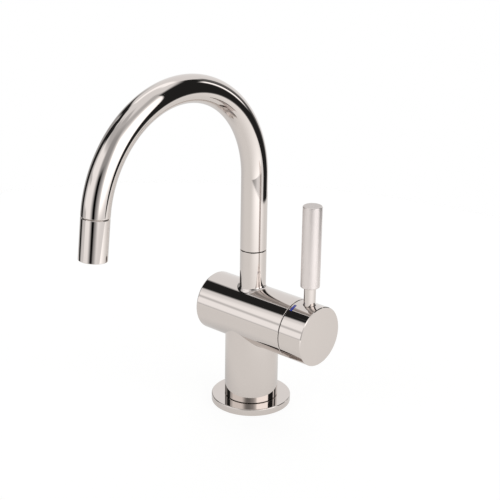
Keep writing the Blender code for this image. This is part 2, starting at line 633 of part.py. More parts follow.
def make_turning_cartridge(handle_axis):
    """Moving disc with its kidney groove, and the spindle that turns it."""
    axis_point = (0, 0, BARREL_AXIS_HEIGHT)
    disc_end = MOVING_DISC_START + DISC_THICKNESS
    disc_outline = plain_bar(TURNING_RADIUS, MOVING_DISC_START, disc_end)
    disc = turned("moving_ceramic_disc", disc_outline, STEPS_TUBE, CERAMIC, axis_point, ALONG_BARREL, handle_axis)
    path = []
    for index in range(KIDNEY_STEPS + 1):
        angle = KIDNEY_HALF_SWEEP * (2 * index / KIDNEY_STEPS - 1)
        across, drop = PORT_PITCH_RADIUS * math.sin(angle), PORT_PITCH_RADIUS * math.cos(angle)
        path.append((MOVING_DISC_START - EDGE_BREAK, across, BARREL_AXIS_HEIGHT - drop))
    combine(disc, bent_bar("kidney_groove", path, PORT_RADIUS, STEPS_DRILLING))
    slot_size = (DOG_HEIGHT + CUT_OVERRUN, 2 * (TURNING_RADIUS + CUT_OVERRUN), DOG_WIDTH + 2 * CLEARANCE)
    slot_centre = (disc_end + (CUT_OVERRUN - DOG_HEIGHT) / 2, 0, BARREL_AXIS_HEIGHT)
    combine(disc, block("dog_slot", slot_size, slot_centre))

    shaft_end = HUB_FLOOR - CLEARANCE
    floor, half = ring_groove(SPINDLE_HOLE)
    ring_place = (PLATE_END + CLEARANCE + CARTRIDGE_END) / 2
    outline = [(0, shaft_end), (SPINDLE_RADIUS, shaft_end)]
    outline += grooved(SPINDLE_RADIUS, [(ring_place, half, floor)])
    outline += [(SPINDLE_RADIUS, PLATE_END), (TURNING_RADIUS, PLATE_END), (TURNING_RADIUS, PLATE_START),
                (0, PLATE_START)]
    spindle = turned("valve_spindle", outline, STEPS_TUBE, BRASS, axis_point, ALONG_BARREL, handle_axis)
    dog_size = (DOG_HEIGHT + PLATE_THICKNESS / 2, 2 * TURNING_RADIUS * DOG_LENGTH_SHARE, DOG_WIDTH)
    dog_centre = (PLATE_START + PLATE_THICKNESS / 4 - DOG_HEIGHT / 2, 0, BARREL_AXIS_HEIGHT)
    combine(spindle, block("spindle_dog", dog_size, dog_centre), 'UNION')
    square_start = shaft_end - SPINDLE_SQUARE
    square_end = HUB_SOCKET_END - CLEARANCE
    square_size = (square_end - square_start, 2 * SPINDLE_SQUARE, 2 * SPINDLE_SQUARE)
    square_centre = ((square_start + square_end) / 2, 0, BARREL_AXIS_HEIGHT)
    combine(spindle, block("spindle_square", square_size, square_centre), 'UNION')
    ring_outline = round_ring(SPINDLE_HOLE, ring_place)
    turned("spindle_ring", ring_outline, STEPS_SMALL, RUBBER, axis_point, ALONG_BARREL, handle_axis)


# Lever

def make_hub(handle_axis):
    """Hub on the barrel's open end, with its socket for the spindle, its pin hole and its colour marks."""
    axis_point = (0, 0, BARREL_AXIS_HEIGHT)
    outline = [
        (0, HUB_END),
        (BARREL_RADIUS - HUB_CHAMFER, HUB_END),
        (BARREL_RADIUS, HUB_END - HUB_CHAMFER),
        (BARREL_RADIUS, HUB_START + EDGE_BREAK),
        (BARREL_RADIUS - EDGE_BREAK, HUB_START),
        (BARREL_BORE, HUB_START),
        (BARREL_BORE, HUB_FLOOR),
        (0, HUB_FLOOR)]
    hub = turned("lever_hub", outline, STEPS_LARGE, POLISHED_NICKEL, axis_point, ALONG_BARREL, handle_axis)
    socket_half = SPINDLE_SQUARE + CLEARANCE
    socket_start = HUB_FLOOR - CUT_OVERRUN
    socket_size = (HUB_SOCKET_END - socket_start, 2 * socket_half, 2 * socket_half)
    socket_centre = ((HUB_SOCKET_END + socket_start) / 2, 0, BARREL_AXIS_HEIGHT)
    combine(hub, block("spindle_socket", socket_size, socket_centre))
    seat_floor = (HUB_MIDDLE, 0, BARREL_TOP - PIN_SEAT_DEPTH)
    seat_mouth = (HUB_MIDDLE, 0, BARREL_TOP + CUT_OVERRUN)
    combine(hub, prism("pin_seat", PIN_RADIUS + CLEARANCE, seat_floor, seat_mouth, STEPS_TUBE))
    thread_foot = (HUB_MIDDLE, 0, BARREL_AXIS_HEIGHT)
    combine(hub, prism("pin_thread_hole", PIN_THREAD_RADIUS + CLEARANCE, thread_foot, seat_mouth, STEPS_SMALL))
    for name, angle, material in (("cold_mark", MARK_ANGLE, BLUE_ENAMEL), ("hot_mark", -MARK_ANGLE, RED_ENAMEL)):
        combine(hub, mark_block(name + "_recess", angle, CLEARANCE))
        mark = mark_block(name, angle, 0, material, handle_axis)
        envelope = turned(name + "_crown", plain_bar(BARREL_RADIUS, HUB_START, HUB_END), STEPS_LARGE, None,
                          axis_point, ALONG_BARREL)
        combine(mark, envelope, 'INTERSECT')


def mark_block(name, angle, room, material=None, parent=None):
    """Block through the hub's surface where a colour mark lies, widened by the given room."""
    floor = BARREL_RADIUS - MARK_DEPTH + CLEARANCE - room
    crown = BARREL_RADIUS + CUT_OVERRUN
    reach = (floor + crown) / 2
    centre_x = HUB_START + MARK_INSET + MARK_WIDTH / 2
    across, rise = reach * math.sin(angle), reach * math.cos(angle)
    size = (MARK_WIDTH + 2 * room, MARK_LENGTH + 2 * room, crown - floor)
    return block(name, size, (centre_x, -across, BARREL_AXIS_HEIGHT + rise), (angle, 0, 0), material, parent)


def make_lever(handle_axis):
    """Pin screwed through the hub on to the spindle, and the grip rod over its upper end."""
    foot = (HUB_MIDDLE, 0, 0)
    rod_base = BARREL_AXIS_HEIGHT + ROD_BASE_HEIGHT
    rod_top = rod_base + ROD_LENGTH
    pin_top = rod_base + ROD_SOCKET_DEPTH
    shoulder = BARREL_TOP - PIN_SEAT_DEPTH + CLEARANCE
    tip = BARREL_AXIS_HEIGHT + SPINDLE_SQUARE + CLEARANCE
    pin = [
        (0, pin_top),
        (PIN_RADIUS - EDGE_BREAK, pin_top),
        (PIN_RADIUS, pin_top - EDGE_BREAK),
        (PIN_RADIUS, shoulder),
        (PIN_THREAD_RADIUS, shoulder),
        (PIN_THREAD_RADIUS, tip + EDGE_BREAK),
        (PIN_THREAD_RADIUS - EDGE_BREAK, tip),
        (0, tip)]
    turned("lever_pin", pin, STEPS_TUBE, POLISHED_NICKEL, foot, (0, 0, 0), handle_axis)
    round_place = ROD_RADIUS - ROD_ROUND
    socket = PIN_RADIUS + CLEARANCE
    rod = [(0, rod_top)]
    rod += arc((round_place, rod_top - ROD_ROUND), ROD_ROUND, QUARTER_TURN, 0, ROUND_STEPS)
    rod += arc((round_place, rod_base + ROD_ROUND), ROD_ROUND, 0, -QUARTER_TURN, ROUND_STEPS)
    rod += [(socket, rod_base), (socket, pin_top + CLEARANCE), (0, pin_top + CLEARANCE)]
    turned("lever_rod", rod, STEPS_TUBE, SATIN_NICKEL, foot, (0, 0, 0), handle_axis)


# Swivel on the neck

def groove_height(name):
    """Height of the middle of one of the nipple's grooves."""
    foot = nipple_body_foot()
    length = NIPPLE_LENGTH_SHARE * RISER_LENGTH
    return foot + NIPPLE_GROOVE_SHARES[name] * length


def nipple_body_foot():
    """Height where the nipple widens above the thrust washer."""
    return SEAM_HEIGHT + THRUST_WASHER_THICKNESS + 2 * CLEARANCE


def snap_ring_radius():
    """Outer radius of the snap ring, which stands out into a groove in the tube."""
    return TUBE_BORE + CLEARANCE


def make_swivel():
    """Nipple screwed into the neck, with the bushes, sealing rings and snap ring round it."""
    bush_outer = TUBE_BORE - CLEARANCE
    bush_inner = bush_outer - BUSH_WALL
    snap_inner = snap_ring_radius() - SNAP_RING_WALL
    ring_floor, ring_half = ring_groove(TUBE_BORE)
    bush_groove = (BUSH_HEIGHT / 2 + CLEARANCE, bush_inner - CLEARANCE)
    ring_shape = (ring_half, ring_floor)
    snap_groove = (SNAP_RING_HEIGHT / 2 + CLEARANCE, snap_inner - CLEARANCE)
    shapes = {
        "lower_bush": bush_groove,
        "lower_ring": ring_shape,
        "upper_ring": ring_shape,
        "upper_bush": bush_groove,
        "snap_ring": snap_groove,
    }
    top = nipple_body_foot() + NIPPLE_LENGTH_SHARE * RISER_LENGTH
    seat = SEAM_HEIGHT + CLEARANCE
    foot = SEAM_HEIGHT - NECK_SOCKET_DEPTH + CLEARANCE
    outline = [(WATERWAY_RADIUS, top), (NIPPLE_RADIUS - EDGE_BREAK, top), (NIPPLE_RADIUS, top - EDGE_BREAK)]
    outline += grooved(NIPPLE_RADIUS, [(groove_height(name), *shape) for name, shape in shapes.items()])
    outline += [
        (NIPPLE_RADIUS, nipple_body_foot()),
        (NIPPLE_WAIST_RADIUS, nipple_body_foot()),
        (NIPPLE_WAIST_RADIUS, seat),
        (NIPPLE_SPIGOT_RADIUS, seat),
        (NIPPLE_SPIGOT_RADIUS, foot),
        (WATERWAY_RADIUS, foot)]
    turned("swivel_nipple", outline, STEPS_SMALL, BRASS)
    for name in ("lower_bush", "upper_bush"):
        height = groove_height(name)
        section = plain_ring(bush_outer, bush_inner, height - BUSH_HEIGHT / 2, height + BUSH_HEIGHT / 2)
        turned("swivel_" + name, section, STEPS_SMALL, WHITE_PLASTIC)
    for name in ("lower_ring", "upper_ring"):
        turned("swivel_" + name, round_ring(TUBE_BORE, groove_height(name)), STEPS_SMALL, RUBBER)
    height = groove_height("snap_ring")
    section = plain_ring(snap_ring_radius(), snap_inner, height - SNAP_RING_HEIGHT / 2, height + SNAP_RING_HEIGHT / 2)
    snap_ring = turned("snap_ring", section, STEPS_SMALL, STEEL)
    opening_size = (SNAP_RING_OPENING, 2 * SNAP_RING_WALL, 2 * SNAP_RING_HEIGHT)
    opening_place = (0, (snap_ring_radius() + snap_inner) / 2, height)
    combine(snap_ring, block("snap_ring_opening", opening_size, opening_place))
    washer_outer = TUBE_RADIUS - TUBE_RIM - CLEARANCE
    washer = plain_ring(washer_outer, NIPPLE_WAIST_RADIUS + CLEARANCE, seat, seat + THRUST_WASHER_THICKNESS)
    turned("thrust_washer", washer, STEPS_SMALL, BLACK_PLASTIC)


# Spout and nozzle

def bend_point(angle):
    """Point of the bend's centreline at an angle from its start."""
    return Vector((0, -BEND_RADIUS * (1 - math.cos(angle)), BEND_HEIGHT + BEND_RADIUS * math.sin(angle)))


def flow_direction():
    """Direction in which the tube ends."""
    return Vector((0, -math.sin(BEND_SWEEP), math.cos(BEND_SWEEP)))


def spout_path(overrun):
    """Centreline of the spout: a straight riser, the bend and its short straight end."""
    path = [Vector((0, 0, TUBE_FOOT - overrun))]
    path += [bend_point(BEND_SWEEP * index / BEND_STEPS) for index in range(BEND_STEPS + 1)]
    path.append(path[-1] + flow_direction() * (BEND_RUN_OUT + overrun))
    return path


def make_spout(swivel_axis):
    """Bent tube with its bore, the ledge that rides on the thrust washer and the snap ring's groove."""
    place_at = (0, 0, 0)
    tube = bent_bar("spout_tube", spout_path(0), TUBE_RADIUS, TUBE_SIDES_OUTSIDE, POLISHED_NICKEL,
                    place_at, swivel_axis)
    combine(tube, bent_bar("spout_bore", spout_path(CUT_OVERRUN), TUBE_BORE, TUBE_SIDES_INSIDE))
    ledge = nipple_body_foot()
    ledge_cut = plain_bar(TUBE_RADIUS - TUBE_RIM, TUBE_FOOT - CUT_OVERRUN, ledge)
    combine(tube, turned("washer_ledge", ledge_cut, STEPS_TUBE))
    height = groove_height("snap_ring")
    half = SNAP_RING_HEIGHT / 2 + CLEARANCE
    groove = plain_bar(snap_ring_radius() + CLEARANCE, height - half, height + half)
    combine(tube, turned("snap_ring_groove", groove, STEPS_SMALL))


def make_jets(name, start, end, location, rotation):
    """Cutter of many small holes in a hexagonal pattern."""
    mesh = bpy.data.meshes.new(name)
    shape = bmesh.new()
    for row in range(-JET_RINGS, JET_RINGS + 1):
        for column in range(-JET_RINGS, JET_RINGS + 1):
            if abs(row + column) > JET_RINGS:
                continue
            centre = Vector((column + row / 2, row * math.sqrt(3) / 2, 0)) * JET_PITCH
            centre.z = (start + end) / 2
            jet = bmesh.ops.create_cone(shape, cap_ends=True, segments=STEPS_JET, radius1=JET_RADIUS,
                                        radius2=JET_RADIUS, depth=end - start)
            bmesh.ops.translate(shape, verts=jet["verts"], vec=centre)
    shape.to_mesh(mesh)
    shape.free()
    return place(mesh, name, None, location, rotation, None)


def make_nozzle(swivel_axis):
    """Threaded bush in the tube's end, and the nozzle with its washer, screen and flow straightener.

    Each is turned about the line of flow, along which heights are measured from the tube's end.
    """
    tube_end = bend_point(BEND_SWEEP) + flow_direction() * BEND_RUN_OUT
    turn = (BEND_SWEEP, 0, 0)
    mouth = CLEARANCE + NOZZLE_LENGTH
    lip_radius = TUBE_BORE - NOZZLE_LIP_WIDTH
    lip_start = mouth - NOZZLE_LIP_HEIGHT
    sleeve = [
        (lip_radius, mouth),
        (TUBE_RADIUS - EDGE_BREAK, mouth),
        (TUBE_RADIUS, mouth - EDGE_BREAK),
        (TUBE_RADIUS, CLEARANCE + NOZZLE_SEAM_CHAMFER),
        (TUBE_RADIUS - NOZZLE_SEAM_CHAMFER, CLEARANCE),
        (TUBE_BORE, CLEARANCE),
        (TUBE_BORE, lip_start),
        (lip_radius, lip_start)]
    turned("nozzle_sleeve", sleeve, STEPS_TUBE, POLISHED_NICKEL, tube_end, turn, swivel_axis)

    straightener_end = lip_start - CLEARANCE
    straightener_start = straightener_end - STRAIGHTENER_LENGTH
    screen_end = straightener_start - CLEARANCE
    screen_start = screen_end - SCREEN_THICKNESS
    washer_end = screen_start - CLEARANCE
    washer_start = washer_end - WASHER_THICKNESS
    bush_end = washer_start - CLEARANCE
    for name, start, end, material in (("flow_straightener", straightener_start, straightener_end, WHITE_PLASTIC),
                                       ("outlet_screen", screen_start, screen_end, STEEL)):
        disc = turned(name, plain_bar(OUTLET_BUSH_RADIUS, start, end), STEPS_TUBE, material,
                      tube_end, turn, swivel_axis)
        jets = make_jets(name + "_jets", start - CUT_OVERRUN, end + CUT_OVERRUN, tube_end, turn)
        combine(disc, jets)
    washer = plain_ring(OUTLET_BUSH_RADIUS, OUTLET_BUSH_RADIUS - WASHER_WIDTH, washer_start, washer_end)
    turned("outlet_washer", washer, STEPS_SMALL, RUBBER, tube_end, turn, swivel_axis)
    bush_bore = OUTLET_BUSH_RADIUS - OUTLET_BUSH_WALL
    bush = plain_ring(OUTLET_BUSH_RADIUS, bush_bore, -OUTLET_BUSH_SEAT, bush_end)
    turned("outlet_bush", bush, STEPS_TUBE, BRASS, tube_end, turn, swivel_axis)


def make_axis(name, location):
    """Empty on the axis of a joint, for the pieces that turn about it."""
    axis = bpy.data.objects.new(name, None)
    axis.location = location
    axis.empty_display_size = BARREL_RADIUS
    PARTS.objects.link(axis)
    return axis


def finish_meshes():
    """Apply every piece's modifiers and shade its round faces smooth."""
    for piece in PARTS.objects:
        if piece.type != 'MESH':
            continue
        apply_modifiers(piece)
        piece.data.shade_smooth()
        piece.data.set_sharp_from_angle(angle=SHARP_ANGLE)


def main():
    """Model the whole tap."""
    swivel_axis = make_axis("swivel_axis", (0, 0, SEAM_HEIGHT))
    handle_axis = make_axis("handle_axis", (HUB_START, 0, BARREL_AXIS_HEIGHT))
    make_flange()
    make_plug_and_pipes()
    make_body()
    make_valve_block()
    make_fixed_cartridge()
    make_gland()
    make_turning_cartridge(handle_axis)
    make_hub(handle_axis)
    make_lever(handle_axis)
    make_swivel()
    make_spout(swivel_axis)
    make_nozzle(swivel_axis)
    finish_meshes()


main()
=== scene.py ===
"""Looks of a polished hot and cold water tap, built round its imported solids.

A round column on a deck flange carries a horizontal barrel. A gooseneck spout swivels on the barrel's neck,
and a lever with a satin rod turns the hub on the barrel's open end. Metres, +Z up, the spout towards -Y and
the hub towards +X.
"""
import logging
import math
from collections.abc import Callable, Iterator, Sequence
from contextlib import contextmanager
from dataclasses import dataclass
from enum import Enum
from functools import cache
from typing import ClassVar

import bmesh
import bpy
from mathutils import Matrix, Vector


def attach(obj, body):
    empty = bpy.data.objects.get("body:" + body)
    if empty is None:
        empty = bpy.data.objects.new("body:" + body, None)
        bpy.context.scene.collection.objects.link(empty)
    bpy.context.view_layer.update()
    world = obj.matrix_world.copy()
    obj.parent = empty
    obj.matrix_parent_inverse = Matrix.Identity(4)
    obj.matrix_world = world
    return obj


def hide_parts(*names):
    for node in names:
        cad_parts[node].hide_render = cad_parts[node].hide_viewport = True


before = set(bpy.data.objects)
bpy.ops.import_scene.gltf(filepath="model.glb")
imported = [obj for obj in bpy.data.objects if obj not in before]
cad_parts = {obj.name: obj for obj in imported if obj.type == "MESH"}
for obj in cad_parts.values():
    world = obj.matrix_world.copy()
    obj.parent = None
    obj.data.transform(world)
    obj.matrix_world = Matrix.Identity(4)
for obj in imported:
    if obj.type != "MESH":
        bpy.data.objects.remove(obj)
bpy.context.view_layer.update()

LOG = logging.getLogger("tap")

Piece = bpy.types.Object
Node = bpy.types.Node
Socket = bpy.types.NodeSocket
Colour = tuple[float, float, float]
Point = tuple[float, float, float]
Triple = Sequence[float]
Outline = list[tuple[float, float]]

# Facets and tolerances of the meshes
SIDES_LARGE = 224
SIDES_TUBE = 160
SIDES_SMALL = 72
SIDES_DRILLING = 24
ROUND_STEPS = 6
FILLET_STEPS = 14
MERGE_DISTANCE = 0.000001
ON_SURFACE = 0.00002
FACET_AGREEMENT = 0.86
SHARP_ANGLE = math.radians(30)
SEED_CORNERS = 3
SEED_RADIUS = 0.001
CUT_OVERRUN = 0.001

# Sizes that the sub-assemblies share
CLEARANCE = 0.0003
SEAM_GAP = 0.0005
EDGE_ROUND = 0.0003
TUBE_RADIUS = 0.008
TUBE_WALL = 0.0013
TUBE_BORE = TUBE_RADIUS - TUBE_WALL
BARREL_RADIUS = 0.0182
BARREL_WALL = 0.0026
BARREL_BORE = BARREL_RADIUS - BARREL_WALL
BARREL_AXIS = 0.0586
BARREL_TOP = BARREL_AXIS + BARREL_RADIUS
BARREL_FRONT = 0.0357
HUB_START = BARREL_FRONT + SEAM_GAP
SEAM_HEIGHT = BARREL_TOP + 0.0234
SPOUT_FOOT = SEAM_HEIGHT + SEAM_GAP
PIN_RADIUS = 0.00355

QUARTER_TURN = math.pi / 2
FULL_TURN = 2 * math.pi
HALF_CIRCLE = 180.0
HEXAGON_RISE = math.sqrt(3) / 2
ORIGIN = (0.0, 0.0, 0.0)
AXIS_POINT = Vector((0.0, 0.0, BARREL_AXIS))
ALONG_BARREL = (0.0, QUARTER_TURN, 0.0)
UPRIGHT = (0.0, 0.0, 0.0)
UPWARDS = Vector((0.0, 0.0, 1.0))

# Values at the dark and the light end of a noise, its octaves, and the cloud's share in the roughness
NOISE_DARK = 0.3
NOISE_LIGHT = 0.7
CLOUD_DETAIL = 2.0
GRAIN_DETAIL = 3.0
CLOUD_SHARE = 0.5

# Places of the colour sockets of a Mix node
MIX_SHARE = 0
MIX_FIRST = 6
MIX_SECOND = 7
MIX_RESULT = 2


class Carrier(Enum):
    """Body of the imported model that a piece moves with."""

    TAP = "body"
    SPOUT = "spout"
    LEVER = "handle"


class Joining(Enum):
    """Way in which a tool changes the piece that it is used on."""

    ADD = "UNION"
    CUT = "DIFFERENCE"
    KEEP_SHARED = "INTERSECT"


# Finishes


class NodeBoard:
    """Node tree of one material, world or group while it is wired."""

    def __init__(self, tree: bpy.types.NodeTree) -> None:
        """Take over a node tree."""
        self.tree = tree

    def add(self, kind: str, *values: object, **settings: object) -> Node:
        """Add a node.

        Args:
            kind: Type name of the node.
            values: A plain value or an output socket for each input, in order.
            settings: Properties of the node, by name.

        Returns:
            The new node.
        """
        node = self.tree.nodes.new(kind)
        for name, value in settings.items():
            setattr(node, name, value)
        for socket, value in zip(node.inputs, values):
            self.plug(socket, value)
        return node

    def feed(self, node: Node, **values: object) -> Node:
        """Set or link inputs of a node, named with underscores for spaces.

        Args:
            node: The node whose inputs are set.
            values: A plain value or an output socket for each input.

        Returns:
            The same node.
        """
        for name, value in values.items():
            self.plug(node.inputs[name.replace("_", " ")], value)
        return node

    def plug(self, socket: Socket, value: object) -> None:
        """Set a socket to a value, or link it to an output.

        Args:
            socket: The input socket.
            value: A plain value or an output socket.
        """
        if isinstance(value, Socket):
            self.tree.links.new(value, socket)
        else:
            socket.default_value = value

    def math(self, operation: str, *values: object) -> Socket:
        """Add a maths node with its inputs in order, and give its output."""
        return self.add("ShaderNodeMath", *values, operation=operation).outputs[0]

    def noise(self, coordinates: Socket, scale: float, detail: float) -> Socket:
        """Add a noise with so many features per metre, and give its grey output."""
        texture = self.feed(self.add("ShaderNodeTexNoise"), Vector=coordinates, Scale=scale, Detail=detail)
        return texture.outputs["Fac"]

    def ranged(self, noise: Socket, low: float, high: float) -> Socket:
        """Spread the middle of a noise over a range, and give the value within it."""
        return self.add("ShaderNodeMapRange", noise, NOISE_DARK, NOISE_LIGHT, low, high).outputs["Result"]

    def fall(self, value: Socket, start: object, end: object) -> Socket:
        """Fall softly from one up to the start to nothing from the end on."""
        step = self.add("ShaderNodeMapRange", value, start, end, 1.0, 0.0, interpolation_type="SMOOTHSTEP")
        return step.outputs["Result"]

    def near(self, place: Socket, middle: Point, inner: float, outer: float) -> Socket:
        """Fall softly with the distance from a point, from one at the inner to nothing at the outer."""
        distance = self.add("ShaderNodeVectorMath", place, middle, operation="DISTANCE")
        return self.fall(distance.outputs["Value"], inner, outer)

    def between(self, share: Socket, first: object, second: object) -> Socket:
        """Mix two colours.

        Args:
            share: Share of the second colour.
            first: Colour at share 0, plain or from another node.
            second: Colour at share 1, plain or from another node.

        Returns:
            The mixed colour.
        """
        node = self.add("ShaderNodeMix", data_type="RGBA")
        for place, colour in ((MIX_FIRST, first), (MIX_SECOND, second)):
            self.plug(node.inputs[place], (*colour, 1.0) if isinstance(colour, tuple) else colour)
        self.plug(node.inputs[MIX_SHARE], share)
        return node.outputs[MIX_RESULT]


@dataclass(frozen=True)
class Finish:
    """Finish of a surface, with the cloudiness and the fine grain that the real one has.

    The grain runs round the piece's axis where its stretch is not even.
    """

    slot: str
    colour: Colour
    shade: float
    roughness: tuple[float, float]
    cloud_scale: float
    grain_scale: float
    grain_stretch: Point
    grain_depth: float
    metallic: float = 0.0
    coat: float = 0.0

    @cache
    def made(self) -> bpy.types.Material:
        """Make the material, once for each finish.

        Returns:
            The material.
        """
        material = bpy.data.materials.new(self.slot + "_finish")
        material.use_nodes = True
        board = NodeBoard(material.node_tree)
        shader = material.node_tree.nodes["Principled BSDF"]
        board.feed(shader, Metallic=self.metallic, Coat_Weight=self.coat)
        where = board.add("ShaderNodeTexCoord").outputs["Object"]
        cloud = board.noise(where, self.cloud_scale, CLOUD_DETAIL)
        darker: Colour = tuple(channel * self.shade for channel in self.colour)
        board.feed(shader, Base_Color=board.between(board.ranged(cloud, 0.0, 1.0), darker, self.colour))
        drawn = board.feed(board.add("ShaderNodeMapping"), Vector=where, Scale=self.grain_stretch)
        grain = board.noise(drawn.outputs["Vector"], self.grain_scale, GRAIN_DETAIL)
        fine = board.math("MULTIPLY", grain, 1 - CLOUD_SHARE)
        uneven = board.math("MULTIPLY_ADD", cloud, CLOUD_SHARE, fine)
        board.feed(shader, Roughness=board.ranged(uneven, *self.roughness))
        relief = board.feed(board.add("ShaderNodeBump"), Distance=self.grain_depth, Height=grain)
        board.feed(shader, Normal=relief.outputs["Normal"])
        return material


EVEN = (1.0, 1.0, 1.0)
TURNED = (0.12, 0.12, 1.0)

POLISHED_NICKEL = Finish(
    "polished_nickel", (0.685, 0.632, 0.602), 0.985, (0.018, 0.04), 45.0, 900.0, EVEN, 4e-7, metallic=1.0)
SATIN_NICKEL = Finish(
    "satin_nickel", (0.79, 0.73, 0.71), 0.97, (0.28, 0.36), 120.0, 5200.0, TURNED, 0.000002, metallic=0.85)
# Nickel of the rod's top face, darker than the satin of its side: the darker colour is painted shade on the
# top
ROD_TOP_SHADE_NICKEL = Finish(
    "rod_top_painted_shade", (0.58, 0.535, 0.515), 0.95, (0.24, 0.34), 120.0, 5200.0, EVEN, 0.000002, metallic=1.0)
BARE_BRASS = Finish(
    "bare_brass", (0.74, 0.54, 0.27), 0.86, (0.26, 0.42), 160.0, 4200.0, TURNED, 0.000006, metallic=1.0)
COPPER_PIPE = Finish(
    "copper_pipe", (0.78, 0.41, 0.28), 0.8, (0.22, 0.4), 210.0, 3600.0, EVEN, 0.000004, metallic=1.0)
SPRING_STEEL = Finish(
    "spring_steel", (0.56, 0.56, 0.57), 0.9, (0.24, 0.36), 300.0, 5000.0, TURNED, 0.000003, metallic=1.0)
WHITE_CERAMIC = Finish(
    "white_ceramic", (0.86, 0.85, 0.82), 0.95, (0.1, 0.18), 500.0, 5200.0, EVEN, 0.000001, coat=0.4)
BLACK_RUBBER = Finish(
    "black_rubber", (0.022, 0.022, 0.024), 0.7, (0.6, 0.8), 400.0, 7000.0, EVEN, 0.00001)
BLACK_ACETAL = Finish(
    "black_acetal", (0.028, 0.028, 0.031), 0.75, (0.34, 0.48), 350.0, 6000.0, EVEN, 0.000004)
WHITE_ACETAL = Finish(
    "white_acetal", (0.83, 0.83, 0.81), 0.94, (0.34, 0.46), 350.0, 6000.0, EVEN, 0.000004)
BLUE_ENAMEL = Finish(
    "blue_enamel", (0.012, 0.035, 0.42), 0.8, (0.2, 0.34), 900.0, 6000.0, EVEN, 0.000003, coat=0.5)
RED_ENAMEL = Finish(
    "red_enamel", (0.55, 0.02, 0.02), 0.8, (0.2, 0.34), 900.0, 6000.0, EVEN, 0.000003, coat=0.5)


def dress(piece: Piece, finish: Finish) -> None:
    """Give a piece one finish all over."""
    piece.data.materials.clear()
    piece.data.materials.append(finish.made())


# Modelling


def take_up(*pieces: Piece) -> None:
    """Select nothing but the given pieces, and make each the active one in turn.

    Args:
        pieces: The pieces.
    """
    bpy.ops.object.select_all(action="DESELECT")
    for piece in pieces:
        piece.select_set(True)
        bpy.context.view_layer.objects.active = piece


def fresh(add: Callable[..., object], **settings: object) -> Piece:
    """Add a primitive about the origin, with nothing else selected.

    Args:
        add: The operator that adds it.
        settings: What the operator is told.

    Returns:
        The new piece.
    """
    take_up()
    add(location=ORIGIN, **settings)
    return bpy.context.active_object


def settle(piece: Piece, place: Triple, turn: Triple = UPRIGHT) -> Piece:
    """Move and turn a piece, and keep its place in its mesh.

    Args:
        piece: The piece, modelled about the origin.
        place: Where its origin goes.
        turn: Its turn about X, Y and Z.

    Returns:
        The same piece, with its object at the origin.
    """
    take_up(piece)
    piece.location = place
    piece.rotation_euler = turn
    bpy.ops.object.transform_apply(location=True, rotation=True, scale=True)
    return piece


@contextmanager
def editing(piece: Piece) -> Iterator[None]:
    """Keep a piece in edit mode, with all its vertices selected at first.

    Args:
        piece: The piece.

    Yields:
        Nothing.
    """
    take_up(piece)
    bpy.ops.object.mode_set(mode="EDIT")
    bpy.ops.mesh.select_mode(type="VERT")
    bpy.ops.mesh.select_all(action="SELECT")
    yield
    bpy.ops.object.mode_set(mode="OBJECT")


def select_vertices(piece: Piece, wanted: Callable[[bmesh.types.BMVert], bool]) -> None:
    """In edit mode, select only the wanted vertices.

    Args:
        piece: The piece in edit mode.
        wanted: Says of a vertex whether it is selected.
    """
    shape = bmesh.from_edit_mesh(piece.data)
    for vertex in shape.verts:
        vertex.select = wanted(vertex)
    shape.select_flush_mode()
    bmesh.update_edit_mesh(piece.data)


def close_skin() -> None:
    """In edit mode, merge doubles all over and turn the faces outwards."""
    bpy.ops.mesh.select_all(action="SELECT")
    bpy.ops.mesh.remove_doubles(threshold=MERGE_DISTANCE)
    bpy.ops.mesh.normals_make_consistent(inside=False)


def modify(piece: Piece, kind: str, **settings: object) -> None:
    """Give a piece a modifier and apply it.

    Args:
        piece: The piece.
        kind: Type name of the modifier.
        settings: Properties of the modifier, by name.
    """
    take_up(piece)
    step = piece.modifiers.new(kind.lower(), kind)
    for name, value in settings.items():
        setattr(step, name, value)
    bpy.ops.object.modifier_apply(modifier=step.name)


def turned(outline: Outline, steps: int, place: Triple = ORIGIN,
           turn: Triple = UPRIGHT) -> Piece:
    """Draw an outline as an extruded line and spin it about the Z axis.

    Args:
        outline: Radius and height of its points. Both its ends lie on the axis, or it is closed to a ring.
        steps: Number of facets round the axis.
        place: Where the origin goes.
        turn: How the piece is turned there.

    Returns:
        The turned piece.
    """
    piece = fresh(bpy.ops.mesh.primitive_circle_add, vertices=SEED_CORNERS, radius=SEED_RADIUS)
    with editing(piece):
        bpy.ops.mesh.merge(type="CENTER")
        bpy.ops.transform.translate(value=(outline[0][0], 0, outline[0][1]))
        for (radius, height), (next_radius, next_height) in zip(outline, outline[1:]):
            step = (next_radius - radius, 0, next_height - height)
            bpy.ops.mesh.extrude_region_move(TRANSFORM_OT_translate={"value": step})
        if outline[0][0] > 0:
            select_vertices(piece, lambda vertex: len(vertex.link_edges) == 1)
            bpy.ops.mesh.edge_face_add()
        bpy.ops.mesh.select_all(action="SELECT")
        bpy.ops.mesh.spin(steps=steps, angle=FULL_TURN, center=ORIGIN, axis=(0, 0, 1))
        close_skin()
        select_vertices(piece, lambda vertex: vertex.co.xy.length < MERGE_DISTANCE)
        bpy.ops.mesh.dissolve_verts()
    return settle(piece, place, turn)


def round_stretch(centre: tuple[float, float], radius: float, start: float, end: float,
                  steps: int = ROUND_STEPS) -> Outline:
    """Points of an arc in an outline, from its start angle to its end angle, both included."""
    angles = [start + (end - start) * index / steps for index in range(steps + 1)]
    return [(centre[0] + radius * math.cos(angle), centre[1] + radius * math.sin(angle)) for angle in angles]


def upper_round(radius: float, height: float, rounding: float = EDGE_ROUND) -> Outline:
    """Rounded edge at the upper end of an outer wall, from its flat end to the wall."""
    return round_stretch((radius - rounding, height - rounding), rounding, QUARTER_TURN, 0)


def lower_round(radius: float, height: float, rounding: float = EDGE_ROUND) -> Outline:
    """Rounded edge at the lower end of an outer wall, from the wall to its flat end."""
    return round_stretch((radius - rounding, height + rounding), rounding, 0, -QUARTER_TURN)


